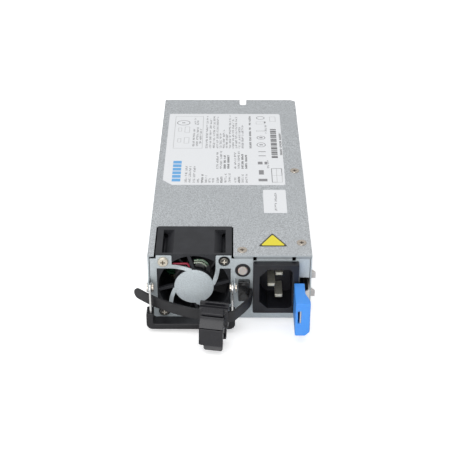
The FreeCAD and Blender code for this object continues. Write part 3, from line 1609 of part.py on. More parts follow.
def main_board():
    """Board with its card edge through the rear panel, on spacers over an insulator."""
    body = new_body("main_board")
    inner_end = rear - s.sheet - s.running_gap
    card_end = rear + s.card_length
    key = s.card_key_across
    outline = polygon([(-s.board_left, board_front), (s.board_right, board_front),
                       (s.board_right, inner_end), (s.card_half, inner_end),
                       (s.card_half, card_end), (key + s.card_key_width, card_end),
                       (key + s.card_key_width, rear + 2), (key, rear + 2), (key, card_end),
                       (-s.card_half, card_end), (-s.card_half, inner_end),
                       (-s.board_left, inner_end)])
    pad(body, "XY_Plane", board_bottom, board_top, [outline])
    holes = [circle(x, y, s.board_screw_shank / 2) for x, y in spacer_places()]
    pocket(body, "XY_Plane", board_bottom, board_top, holes)
    sheet = new_body("insulator_sheet")
    floor = s.sheet + s.insulator_sheet
    pad(sheet, "XY_Plane", s.sheet, floor,
        [rectangle(-s.board_left, board_front, s.board_right, inner_end)])
    holes = [circle(x, y, s.spacer_diameter / 2) for x, y in spacer_places()]
    pocket(sheet, "XY_Plane", s.sheet, floor, holes)
    spacers = []
    screws = []
    for number, centre in enumerate(spacer_places()):
        spacers.append(ring(f"spacer_{number}", "Z", centre, s.board_screw_shank / 2,
                            s.spacer_diameter / 2, s.sheet, board_bottom))
        screws.append(headed_screw(f"board_screw_{number}", "Z", centre, board_top, 1,
                                   s.board_screw_head, s.board_screw_head_depth,
                                   s.board_screw_shank, s.board_screw_length))
    group("board_spacers", spacers)
    group("board_screws", screws)


def edge_contacts():
    """Gold contacts on both faces of the card edge, clear of its key slot."""
    pads = []
    end = rear + s.card_length - s.contact_setback
    for face in (board_bottom - s.contact_thickness, board_top):
        for number in range(int(s.contact_count.value)):
            centre = (number - (s.contact_count - 1) / 2) * s.contact_pitch
            key_middle = s.card_key_across + s.card_key_width / 2
            if abs(centre.value - key_middle.value) < s.card_key_width.value:
                continue
            pads.append(block("contact", (centre - s.contact_width / 2, end - s.contact_length, face),
                              (centre + s.contact_width / 2, end, face + s.contact_thickness)))
    group("edge_contacts", pads)


def board_parts():
    """Mains filter, power stage and output parts seated on the board."""
    left = -s.board_left + s.board_margin
    cap = s.capacitor_diameter / 2
    cans = []
    first = board_front + s.filter_setback + cap
    for number in range(int(s.capacitor_count.value)):
        y = first + number * (s.capacitor_diameter + s.capacitor_gap)
        can = rod(f"bulk_{number}", "Z", (left + cap, y), cap, board_top,
                  board_top + s.capacitor_height)
        cans.append(can)
    group("bulk_capacitors", cans)
    filter_parts()
    heat_sinks()
    transformer()
    output_stage()


def filter_parts():
    """Choke, film capacitor, fuse and relay beside the inlet's tails."""
    side = s.board_right - s.part_gap
    x = side - s.choke_outer / 2
    start = board_front + s.filter_setback
    end = start + s.choke_depth
    z = board_top + s.choke_outer / 2 + s.winding_build
    outer = s.choke_outer / 2
    inner = s.choke_inner / 2
    keep(ring("filter_choke_core", "Y", (x, z), inner, outer, start, end), "filter_choke_core")
    wrap = ring("wrap", "Y", (x, z), inner - s.winding_build, outer + s.winding_build,
                start - s.winding_build, end + s.winding_build)
    core = rod("core_hole", "Y", (x, z), outer, start, end)
    bore = rod("core_plug", "Y", (x, z), inner, start, end)
    void = cut("core_void", core, [bore])
    wide = outer + s.winding_build + 1
    split = s.winding_split / 2
    low = start - 2 * s.winding_build
    high = end + 2 * s.winding_build
    upper = block("gap_upper", (x - split, low, z), (x + split, high, z + wide))
    lower = block("gap_lower", (x - split, low, z - wide), (x + split, high, z))
    keep(cut("filter_choke_winding", wrap, [void, upper, lower]), "filter_choke_winding")
    film_y = end + s.winding_build + s.part_gap
    keep(block("film_capacitor", (side - s.film_length, film_y, board_top),
               (side, film_y + s.film_width, board_top + s.film_height)), "film_capacitor")
    relay_y = film_y + s.film_width + s.part_gap
    keep(block("relay", (side - s.relay_length, relay_y, board_top),
               (side, relay_y + s.relay_width, board_top + s.relay_height)), "relay")
    fuse = s.fuse_diameter / 2
    fuse_y = relay_y + s.relay_width + s.part_gap + fuse
    keep(rod("fuse", "X", (fuse_y, board_top + fuse), fuse, side - s.fuse_length, side), "fuse")


def heat_sinks():
    """A finned primary sink with its power devices."""
    body = new_body("primary_heat_sink")
    left = (-s.board_left + s.board_margin + s.capacitor_diameter + s.device_depth
            + s.sink_gap)
    start = board_front + s.filter_setback
    end = stage_places()[0] - s.stage_gap
    high = board_top + s.sink_height
    pad(body, "XY_Plane", board_top, high, [rectangle(left, start, left + s.sink_base, end)])
    fin_low = board_top + s.part_gap
    fin = rectangle(left + s.sink_base, fin_low, left + s.sink_base + s.sink_fin_reach,
                    fin_low + s.sink_fin)
    first = pad(body, "XZ_Plane", start, end, [fin])
    span = s.sink_fin_pitch * (s.sink_fin_count - 1)
    along(body, first, "V_Axis", span, s.sink_fin_count)
    devices = []
    for number in range(int(s.device_count.value)):
        y = start + s.part_gap + number * s.device_pitch
        low = board_top + s.device_rise
        devices.append(block(f"device_{number}", (left - s.device_depth, y, low),
                             (left, y + s.device_width, low + s.device_height)))
    group("power_devices", devices)


def stage_places():
    """Y places of the transformer, output sink, bus bars and cans, from the rear panel."""
    cans = rear - s.sheet - s.can_inset
    bars = cans - s.output_can_diameter / 2 - s.part_gap - s.bar_depth
    sink = bars - s.part_gap - s.output_sink_depth
    core = sink - s.stage_gap - s.core_depth
    return core, sink, bars, cans


def transformer():
    """Ferrite core in two limbs round a wound bobbin."""
    x0 = -s.board_left + s.stage_inset
    y0 = stage_places()[0]
    x1 = x0 + s.core_width
    y1 = y0 + s.core_depth
    z0 = board_top
    z1 = board_top + s.core_height
    body = new_body("transformer_core")
    pad(body, "XZ_Plane", y0, y1, [rectangle(x0, z0, x1, z1)])
    limb = s.core_limb
    middle = (x0 + x1) / 2
    post = limb / 2 + 1
    windows = [rectangle(x0 + limb, z0 + limb, middle - post, z1 - limb),
               rectangle(middle + post, z0 + limb, x1 - limb, z1 - limb)]
    pocket(body, "XZ_Plane", y0, y1, windows)
    winding = new_body("transformer_winding")
    build = s.bobbin_build / 2
    pad(winding, "XY_Plane", z0 + limb, z1 - limb,
        [rectangle(x0 + limb, y0 - build, x1 - limb, y1 + build)])
    pocket(winding, "XY_Plane", z0 + limb, z1 - limb, [rectangle(middle - post, y0, middle + post, y1)])


def output_stage():
    """Output sink, row of cans, two bus bars and the upright control board."""
    x0 = -s.board_left + s.stage_inset
    core, sink, bar, row_y = stage_places()
    keep(block("output_heat_sink", (x0, sink, board_top),
               (x0 + s.output_sink_width, sink + s.output_sink_depth,
                board_top + s.output_sink_height)), "output_heat_sink")
    can = s.output_can_diameter / 2
    cans = []
    for number in range(int(s.output_can_count.value)):
        x = (number - (s.output_can_count - 1) / 2) * s.output_can_pitch
        cans.append(rod(f"can_{number}", "Z", (x, row_y), can, board_top,
                        board_top + s.output_can_height))
    group("output_capacitors", cans)
    bars = []
    for number, x in enumerate((x0 + s.bar_inset, x0 + s.output_sink_width - s.bar_inset)):
        bars.append(block(f"bar_{number}", (x, bar, board_top),
                          (x + s.bar_thickness, bar + s.bar_depth, board_top + s.bar_height)))
    group("bus_bars", bars)
    wall = -s.board_left + s.stage_gap
    keep(block("control_board", (wall, core, board_top),
               (wall + s.control_thickness, core + s.control_length,
                board_top + s.control_height)), "control_board")


# ---------------------------------------------------------------- build and export


def check():
    """Stops at any object that failed and any sub-part that has no valid solid."""
    doc.recompute()
    for item in doc.Objects:
        if "Invalid" in item.State or "Error" in item.State:
            raise RuntimeError(f"{item.Label} failed: {item.State}")
    for label, item in PARTS.items():
        shape = item.Shape
        if shape.isNull() or not shape.isValid() or not shape.Solids:
            raise RuntimeError(f"{label} has no valid solid")


def main():
    """Builds every sub-part, checks them all and writes one STEP file each."""
    chassis_tray()
    top_cover()
    rear_panel()
    base_end, tube_end = fan_frame()
    fan_bearings(base_end, tube_end)
    fan_stator(base_end)
    hub_start, hub_floor = fan_impeller()
    fan_rotor_core(hub_start, hub_floor, base_end)
    fan_leads()
    fan_screws()
    cover_screws()
    floor, back = inlet_housing()
    inlet_blades(floor, back)
    status_lamp()
    strap_anchor()
    handle_pivots()
    handle_arm("handle_arm_left", left_arm_x)
    handle_arm("handle_arm_right", right_arm_x)
    handle_grip()
    cord_strap()
    clip_housing()
    clip_jaw()
    clip_pin()
    clip_lever()
    latch_spring()
    latch_rivets()
    release_tab()
    labels()
    main_board()
    edge_contacts()
    board_parts()
    check()
    os.makedirs("parts", exist_ok=True)
    for label, item in PARTS.items():
        item.Shape.exportStep(f"parts/{label}.step")
    print(len(PARTS), "sub-parts")


main()
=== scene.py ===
"""Looks of a hot swap server power supply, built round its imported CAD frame.

The frame gives every rigid solid in metres, with X across the front panel, Y from the
panel to the rear card edge and Z up from the casing's underside. Each sub-assembly below
dresses its solids with procedural finishes, softens their sharp edges, and models the
details that the solids leave plain.
"""

from __future__ import annotations

import json
import logging
import math
import random
import sys
from dataclasses import dataclass, field
from enum import Enum
from typing import Callable, Iterator, Sequence

import bmesh
import bpy
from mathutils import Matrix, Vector

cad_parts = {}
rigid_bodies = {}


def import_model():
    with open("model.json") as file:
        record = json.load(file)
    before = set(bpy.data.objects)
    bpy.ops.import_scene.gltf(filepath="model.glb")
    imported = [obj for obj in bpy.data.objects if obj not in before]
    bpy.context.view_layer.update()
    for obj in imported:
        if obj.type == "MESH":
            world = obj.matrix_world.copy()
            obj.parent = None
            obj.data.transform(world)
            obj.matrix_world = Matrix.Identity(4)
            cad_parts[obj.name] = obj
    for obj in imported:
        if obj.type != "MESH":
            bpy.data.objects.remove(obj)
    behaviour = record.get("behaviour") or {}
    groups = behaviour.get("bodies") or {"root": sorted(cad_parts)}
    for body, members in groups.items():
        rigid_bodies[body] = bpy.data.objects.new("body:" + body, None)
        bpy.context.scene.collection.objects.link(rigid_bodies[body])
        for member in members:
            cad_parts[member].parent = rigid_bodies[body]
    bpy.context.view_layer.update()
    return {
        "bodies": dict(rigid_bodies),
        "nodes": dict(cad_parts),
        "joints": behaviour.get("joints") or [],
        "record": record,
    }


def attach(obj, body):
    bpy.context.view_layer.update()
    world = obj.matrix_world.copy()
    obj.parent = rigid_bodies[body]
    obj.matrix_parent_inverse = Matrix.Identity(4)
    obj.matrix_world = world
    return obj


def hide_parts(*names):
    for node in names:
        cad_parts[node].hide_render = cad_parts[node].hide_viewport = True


LOG = logging.getLogger("power_supply")
MM = 0.001
FACING = 0.9  # least cosine of a face or edge that counts as along an axis
SQUARE_ON = 0.99  # the same, for one that is flat to the axis
NEAR = 0.01  # millimetres within which two places are the same

Colour = tuple[float, float, float]
Place = Sequence[float]
Test = Callable[[Vector, Vector], bool]


# ------------------------------------------------------------------ finishes


class Graph:
    """A material's node tree, with a short method for each node its finishes share."""

    def __init__(self, name: str) -> None:
        """Starts a material that holds one Principled shader.

        Args:
            name: The material's name.
        """
        self.material = bpy.data.materials.new(name)
        self.material.use_nodes = True
        self.nodes = self.material.node_tree.nodes
        self.links = self.material.node_tree.links
        self.shader = self.nodes["Principled BSDF"]
        self.coords = self.nodes.new("ShaderNodeTexCoord").outputs["Object"]

    def stretch(self, scale: Place) -> bpy.types.NodeSocket:
        """Object coordinates, stretched along each axis."""
        node = self.nodes.new("ShaderNodeMapping")
        node.inputs["Scale"].default_value = scale
        self.links.new(self.coords, node.inputs["Vector"])
        return node.outputs["Vector"]

    def noise(self, cell: float, detail: float = 3.0, rough: float = 0.5,
              vector: bpy.types.NodeSocket | None = None) -> bpy.types.NodeSocket:
        """Smooth noise.

        Args:
            cell: The size of one blotch, in metres.
            detail: How many finer octaves it has.
            rough: How strong the finer octaves are.
            vector: The coordinates, or None for the object's own.

        Returns:
            The noise's factor, from 0 to 1.
        """
        node = self.nodes.new("ShaderNodeTexNoise")
        node.inputs["Scale"].default_value = 1.0 / cell
        node.inputs["Detail"].default_value = detail
        node.inputs["Roughness"].default_value = rough
        self.links.new(vector or self.coords, node.inputs["Vector"])
        return node.outputs["Fac"]

    def cells(self, cell: float, feature: str = "F1") -> bpy.types.ShaderNode:
        """A Voronoi pattern whose cells are about one size across, in metres."""
        node = self.nodes.new("ShaderNodeTexVoronoi")
        node.feature = feature
        node.inputs["Scale"].default_value = 1.0 / cell
        self.links.new(self.coords, node.inputs["Vector"])
        return node

    def level(self, factor: bpy.types.NodeSocket, low: float, high: float,
              start: float = 0.0, end: float = 1.0) -> bpy.types.NodeSocket:
        """A factor mapped from start..end to low..high, and clamped."""
        node = self.nodes.new("ShaderNodeMapRange")
        for socket, value in (("From Min", start), ("From Max", end), ("To Min", low),
                              ("To Max", high)):
            node.inputs[socket].default_value = value
        self.links.new(factor, node.inputs["Value"])
        return node.outputs["Result"]

    def math(self, operation: str, first: bpy.types.NodeSocket,
             second: bpy.types.NodeSocket | float) -> bpy.types.NodeSocket:
        """One sum of two values."""
        node = self.nodes.new("ShaderNodeMath")
        node.operation = operation
        self.links.new(first, node.inputs[0])
        if isinstance(second, float):
            node.inputs[1].default_value = second
        else:
            self.links.new(second, node.inputs[1])
        return node.outputs["Value"]

    def blend(self, factor: bpy.types.NodeSocket, first: Colour | bpy.types.NodeSocket,
              second: Colour | bpy.types.NodeSocket) -> bpy.types.NodeSocket:
        """A colour between two colours, by a factor."""
        node = self.nodes.new("ShaderNodeMix")
        node.data_type = "RGBA"
        self.links.new(factor, node.inputs["Factor"])
        for socket, value in ((node.inputs[6], first), (node.inputs[7], second)):
            if isinstance(value, tuple):
                socket.default_value = (*value, 1.0)
            else:
                self.links.new(value, socket)
        return node.outputs[2]

    def around(self, place: Place, radius: float) -> bpy.types.NodeSocket:
        """1 near a place in millimetres, falling to 0 outside a radius."""
        node = self.nodes.new("ShaderNodeVectorMath")
        node.operation = "DISTANCE"
        self.links.new(self.coords, node.inputs[0])
        node.inputs[1].default_value = [value * MM for value in place]
        return self.level(node.outputs["Value"], 1.0, 0.0, radius * MM * 0.9,
                          radius * MM * 1.1)

    def height(self) -> bpy.types.NodeSocket:
        """The height above the floor, in metres."""
        node = self.nodes.new("ShaderNodeSeparateXYZ")
        self.links.new(self.coords, node.inputs[0])
        return node.outputs["Z"]

    def bump(self, height: bpy.types.NodeSocket, depth: float, strength: float = 1.0) -> None:
        """Raises the surface by a height map, over the bump that is already there."""
        node = self.nodes.new("ShaderNodeBump")
        node.inputs["Strength"].default_value = strength
        node.inputs["Distance"].default_value = depth
        self.links.new(height, node.inputs["Height"])
        normal = self.shader.inputs["Normal"]
        if normal.is_linked:
            self.links.new(normal.links[0].from_socket, node.inputs["Normal"])
        self.links.new(node.outputs["Normal"], normal)

    def set(self, **values: float | Colour) -> None:
        """Sets constants on the shader's own sockets, by name with underscores."""
        for word, value in values.items():
            socket = self.shader.inputs[word.replace("_", " ")]
            socket.default_value = (*value, 1.0) if isinstance(value, tuple) else value

    def drive(self, word: str, source: bpy.types.NodeSocket) -> None:
        """Links a pattern to one of the shader's sockets."""
        self.links.new(source, self.shader.inputs[word])


@dataclass(frozen=True)
class GalvanisedSheet:
    """Zinc-coated steel: fine frosty spangle over a faint rolled grain, with painted light where
    a spot is given: a brighter patch round that place.
    """

    name: str
    tone: Colour
    depth: float = 0.10
    spangle: float = 1.1 * MM
    grain: float = 0.34 * MM
    roughness: float = 0.46
    metallic: float = 0.55
    painted_light_spot: Place | None = None
    painted_light_radius: float = 13.5
    painted_light_gain: float = 1.36

    def make(self) -> bpy.types.Material:
        """The sheet's material."""
        graph = Graph(self.name)
        dark = tuple(channel * (1 - self.depth * 1.5) for channel in self.tone)
        light = tuple(min(1.0, channel * (1 + self.depth)) for channel in self.tone)
        spangle = graph.cells(self.spangle)
        grain = graph.noise(self.grain, 2.0, 0.7)
        cloud = graph.noise(22 * MM, 2.0)
        frost = graph.math("MULTIPLY", spangle.outputs["Distance"], 0.5)
        mixed = graph.math("ADD", graph.level(grain, -0.9, 1.5, 0.32, 0.68), frost)
        base = graph.blend(mixed, dark, light)
        shade = tuple(channel * 0.93 for channel in self.tone)
        tint = graph.blend(graph.level(cloud, 0.0, 0.5, 0.35, 0.75), base, shade)
        # Painted light: within the radius round the spot the sheet takes a brighter tone, a
        # highlight painted into its colour.
        if self.painted_light_spot:
            painted_light_tone = graph.blend(mixed, tuple(channel * 1.2 for channel in self.tone),
                                tuple(channel * self.painted_light_gain * 1.1
                                      for channel in self.tone))
            tint = graph.blend(graph.around(self.painted_light_spot, self.painted_light_radius), tint, painted_light_tone)
        graph.drive("Base Color", tint)
        rough = graph.math("ADD", graph.level(grain, -0.10, 0.12), self.roughness)
        graph.drive("Roughness", rough)
        graph.set(Metallic=self.metallic)
        graph.bump(grain, 0.012 * MM, 0.6)
        rolled = graph.noise(0.5 * MM, 2.0, vector=graph.stretch((1.0, 0.06, 1.0)))
        graph.bump(rolled, 0.006 * MM, 0.5)
        return graph.material


@dataclass(frozen=True)
class PlatedMetal:
    """Bright plating over metal, with soft handling marks and fine scratches."""

    name: str
    tone: Colour
    roughness: float = 0.24
    metallic: float = 1.0
    mark: float = 1.6 * MM
    scratch: float = 0.35

    def make(self) -> bpy.types.Material:
        """The plating's material."""
        graph = Graph(self.name)
        marks = graph.noise(self.mark, 4.0, 0.6)
        dull = tuple(channel * 0.82 for channel in self.tone)
        graph.drive("Base Color", graph.blend(graph.level(marks, 0.0, 1.0, 0.35, 0.7),
                                              self.tone, dull))
        graph.drive("Roughness", graph.level(marks, self.roughness * 0.7,
                                             self.roughness * 1.6, 0.3, 0.7))
        graph.set(Metallic=self.metallic)
        lines = graph.noise(0.3 * MM, 3.0, vector=graph.stretch((0.15, 1.0, 1.0)))
        graph.bump(lines, 0.01 * MM, self.scratch)
        return graph.material


@dataclass(frozen=True)
class Moulding:
    """Moulded plastic: a fine spark-eroded grain, soft sheen and a little dust."""

    name: str
    tone: Colour
    lift: Colour
    roughness: float = 0.42
    grain: float = 0.22 * MM
    depth: float = 0.012 * MM
    coat: float = 0.0
    scatter: float = 0.0
    specular: float = 0.5

    def make(self) -> bpy.types.Material:
        """The plastic's material."""
        graph = Graph(self.name)
        cloud = graph.noise(7 * MM, 3.0)
        speck = graph.noise(self.grain, 2.0, 0.6)
        dust = graph.math("MULTIPLY", graph.level(cloud, 0.0, 1.0, 0.4, 0.8),
                          graph.level(speck, 0.3, 1.0, 0.35, 0.7))
        graph.drive("Base Color", graph.blend(dust, self.tone, self.lift))
        graph.drive("Roughness", graph.level(speck, self.roughness - 0.06,
                                             self.roughness + 0.1, 0.3, 0.7))
        graph.set(IOR=1.5, Specular_IOR_Level=self.specular, Coat_Weight=self.coat,
                  Coat_Roughness=0.2)
        if self.scatter:
            graph.set(Subsurface_Weight=self.scatter, Subsurface_Scale=2 * MM)
        graph.bump(speck, self.depth, 0.8)
        return graph.material


@dataclass(frozen=True)
class LeadShadedBelow:
    """A lead's coloured insulation, flecked, with painted shade: it turns black below a height.
    """

    name: str
    tone: Colour
    fleck: Colour
    shade_top: float
    black: Colour = (0.012, 0.012, 0.014)

    def make(self) -> bpy.types.Material:
        """The insulation's material."""
        graph = Graph(self.name)
        flecks = graph.noise(0.7 * MM, 2.0, 0.6)
        skin = graph.blend(graph.level(flecks, 0.0, 1.0, 0.42, 0.58), self.tone, self.fleck)
        # Painted shade: below the given height the insulation blends to black.
        top = self.shade_top * MM
        shaded_below = graph.level(graph.height(), 1.0, 0.0, top - 0.9 * MM, top + 0.9 * MM)
        graph.drive("Base Color", graph.blend(shaded_below, skin, self.black))
        graph.drive("Roughness", graph.level(flecks, 0.36, 0.5))
        graph.set(IOR=1.5)
        graph.bump(flecks, 0.015 * MM, 0.6)
        return graph.material


@dataclass(frozen=True)
class PrintedFilm:
    """Label film or the ink on it: flat tone, faint fibre and a satin sheen."""

    name: str
    tone: Colour
    roughness: float = 0.5
    variation: float = 0.04
    fade: float = 0.0

    def make(self) -> bpy.types.Material:
        """The film's material."""
        graph = Graph(self.name)
        fibre = graph.noise(0.5 * MM, 4.0, 0.7)
        dark = tuple(channel * (1 - self.variation) for channel in self.tone)
        pale = tuple(min(1.0, channel * (1 + self.variation) + self.fade)
                     for channel in self.tone)
        graph.drive("Base Color", graph.blend(graph.level(fibre, 0.0, 1.0, 0.3, 0.7),
                                              dark, pale))
        graph.drive("Roughness", graph.level(fibre, self.roughness - 0.05,
                                             self.roughness + 0.08))
        graph.bump(fibre, 0.008 * MM, 0.5)
        return graph.material


@dataclass(frozen=True)
class FrostedLens:
    """A light pipe's frosted end: milky, softly lit from within by daylight."""

    name: str
    tone: Colour

    def make(self) -> bpy.types.Material:
        """The lens's material."""
        graph = Graph(self.name)
        frost = graph.noise(0.25 * MM, 3.0, 0.7)
        pale = tuple(min(1.0, channel * 1.2) for channel in self.tone)
        graph.drive("Base Color", graph.blend(graph.level(frost, 0.0, 1.0, 0.35, 0.65),
                                              self.tone, pale))
        graph.drive("Roughness", graph.level(frost, 0.28, 0.5))
        graph.set(IOR=1.49, Transmission_Weight=0.1, Subsurface_Weight=0.25,
                  Subsurface_Scale=1.5 * MM)
        graph.bump(frost, 0.02 * MM, 0.6)
        return graph.material


@dataclass(frozen=True)
class CoatedBoard:
    """Solder resist over copper: glassy green with faint tracks."""

    name: str
    tone: Colour
    track: Colour

    def make(self) -> bpy.types.Material:
        """The board's material."""
        graph = Graph(self.name)
        brick = graph.nodes.new("ShaderNodeTexBrick")
        brick.inputs["Scale"].default_value = 1 / (4 * MM)
        brick.inputs["Mortar Size"].default_value = 0.06
        graph.links.new(graph.coords, brick.inputs["Vector"])
        mottle = graph.noise(3 * MM, 3.0)
        mask = graph.math("MULTIPLY", brick.outputs["Fac"], graph.level(mottle, 0.0, 1.0))
        graph.drive("Base Color", graph.blend(mask, self.tone, self.track))
        graph.set(Roughness=0.3, Coat_Weight=0.4, Coat_Roughness=0.15)
        graph.bump(brick.outputs["Fac"], 0.03 * MM, 0.4)
        return graph.material


class Finish(Enum):
    """Every finish on the object, each with its own recipe."""

    TRAY = GalvanisedSheet("tray_zinc", (0.57, 0.60, 0.615), depth=0.09, roughness=0.44,
                           metallic=0.40)
    # The panel carries painted light: a brighter patch round the fan's middle.
    PANEL = GalvanisedSheet("panel_zinc", (0.50, 0.55, 0.575), depth=0.08, roughness=0.44,
                            metallic=0.35, painted_light_spot=(-18.9, -96.0, 20.0))
    COVER = GalvanisedSheet("cover_zinc", (0.505, 0.53, 0.55), depth=0.20,
                            grain=0.65 * MM)
    # Painted shade: a darker copy of the cover's zinc, for the front-facing faces of its front
    # edge.
    LIP_SHADE = GalvanisedSheet("cover_edge_painted_shade", (0.33, 0.36, 0.38), depth=0.08, roughness=0.5)
    SPRING = PlatedMetal("spring_strip", (0.72, 0.69, 0.67), 0.30, 0.9)
    ARM = PlatedMetal("arm_plate", (0.80, 0.80, 0.79), 0.26)
    SCREW = PlatedMetal("screw_nickel", (0.70, 0.63, 0.55), 0.20, mark=0.8 * MM)
    TAB_SCREW = PlatedMetal("screw_cream", (0.68, 0.63, 0.53), 0.26, 0.7, mark=1.2 * MM)
    # Painted shade: the three heads sunk in their holes take a dark tone for the holes' shade.
    SUNK_SCREW_SHADE = PlatedMetal("screw_painted_shade", (0.20, 0.19, 0.17), 0.20, mark=0.8 * MM)
    # Painted highlight: a bright recess for the sunk screw heads.
    CROSS_HIGHLIGHT = PlatedMetal("cross_painted_highlight", (0.93, 0.90, 0.84), 0.5, 0.3)
    # Painted shade in the cover screws' recesses.
    CROSS_SHADE = PlatedMetal("cross_painted_shade", (0.10, 0.075, 0.06), 0.3, 0.8)
    # Painted shade in the tab screw's recess.
    TAN_CROSS_SHADE = PlatedMetal("cross_tan_painted_shade", (0.30, 0.24, 0.16), 0.4, 0.8)
    BLADE = PlatedMetal("blade_nickel", (0.52, 0.51, 0.44), 0.38, 0.55)
    GOLD = PlatedMetal("contact_gold", (0.83, 0.62, 0.25), 0.2)
    SINK = PlatedMetal("sink_alloy", (0.72, 0.73, 0.74), 0.4)
    COPPER = PlatedMetal("winding_copper", (0.62, 0.30, 0.13), 0.35)
    BEARING = PlatedMetal("ground_steel", (0.70, 0.70, 0.71), 0.15)
    LAMINATION = PlatedMetal("core_steel", (0.26, 0.26, 0.28), 0.5)
    CAN = PlatedMetal("can_sleeve", (0.08, 0.08, 0.10), 0.35, 0.3)
    INLET = Moulding("inlet_black", (0.009, 0.009, 0.012), (0.022, 0.023, 0.028), 0.38,
                     specular=0.38)
    FAN = Moulding("fan_black", (0.013, 0.014, 0.018), (0.028, 0.030, 0.036), 0.62)
    BLADES = Moulding("rotor_black", (0.016, 0.016, 0.018), (0.034, 0.034, 0.037), 0.32)
    GRIP = Moulding("grip_black", (0.010, 0.010, 0.012), (0.022, 0.022, 0.025), 0.42,
                    specular=0.4)
    NYLON = Moulding("strap_nylon", (0.010, 0.010, 0.012), (0.024, 0.024, 0.026), 0.40,
                     specular=0.4)
    CLIP = Moulding("clip_nylon", (0.008, 0.008, 0.011), (0.018, 0.018, 0.023), 0.26,
                    coat=0.4, specular=0.3)
    ANCHOR = Moulding("anchor_black", (0.006, 0.006, 0.007), (0.016, 0.016, 0.017), 0.24,
                      coat=0.4)
    TAB = Moulding("tab_blue", (0.058, 0.29, 0.82), (0.08, 0.33, 0.86), 0.42,
                   scatter=0.15)
    LENS = FrostedLens("lamp_frost", (0.49, 0.445, 0.415))
    LABEL = PrintedFilm("label_film", (0.75, 0.765, 0.785))
    GREY_INK = PrintedFilm("ink_grey", (0.23, 0.23, 0.24), fade=0.03)
    DARK_INK = PrintedFilm("ink_dark", (0.10, 0.10, 0.105), fade=0.02)
    PALE_INK = PrintedFilm("ink_pale", (0.45, 0.455, 0.46), fade=0.03)
    BLUE_INK = PrintedFilm("ink_blue", (0.12, 0.37, 0.70), fade=0.02)
    YELLOW = PrintedFilm("sticker_yellow", (0.75, 0.65, 0.035), 0.45)
    BORDER = PrintedFilm("sticker_border", (0.045, 0.040, 0.02), 0.4)
    BOARD = CoatedBoard("board_green", (0.012, 0.10, 0.045), (0.03, 0.19, 0.09))
    FERRITE = Moulding("ferrite_grey", (0.035, 0.035, 0.038), (0.08, 0.08, 0.085), 0.6)
    EPOXY = Moulding("case_epoxy", (0.02, 0.02, 0.02), (0.04, 0.04, 0.04), 0.5)
    FILM_BOX = Moulding("film_case", (0.75, 0.52, 0.06), (0.85, 0.62, 0.12), 0.45)
    SHEET = PrintedFilm("insulator_film", (0.62, 0.56, 0.42))
    RED_LEAD = LeadShadedBelow("lead_red", (0.24, 0.008, 0.03), (0.36, 0.02, 0.05), 0.0)
    # Painted shade on the green and white leads: black below their given heights; the red lead's
    # height of 0 leaves it unshaded.
    GREEN_LEAD = LeadShadedBelow("lead_green", (0.02, 0.10, 0.05), (0.30, 0.34, 0.27), 33.2)
    WHITE_LEAD = LeadShadedBelow("lead_white", (0.09, 0.15, 0.09), (0.46, 0.48, 0.42), 32.2)

    @property
    def material(self) -> bpy.types.Material:
        """The finish's material, made when it is first asked for."""
        return bpy.data.materials.get(self.value.name) or self.value.make()


# ------------------------------------------------------------------ the modelling bench


class Part(Enum):
    """What an edit-mode selection is made of."""

    VERTEX = "VERT"
    EDGE = "EDGE"
    FACE = "FACE"


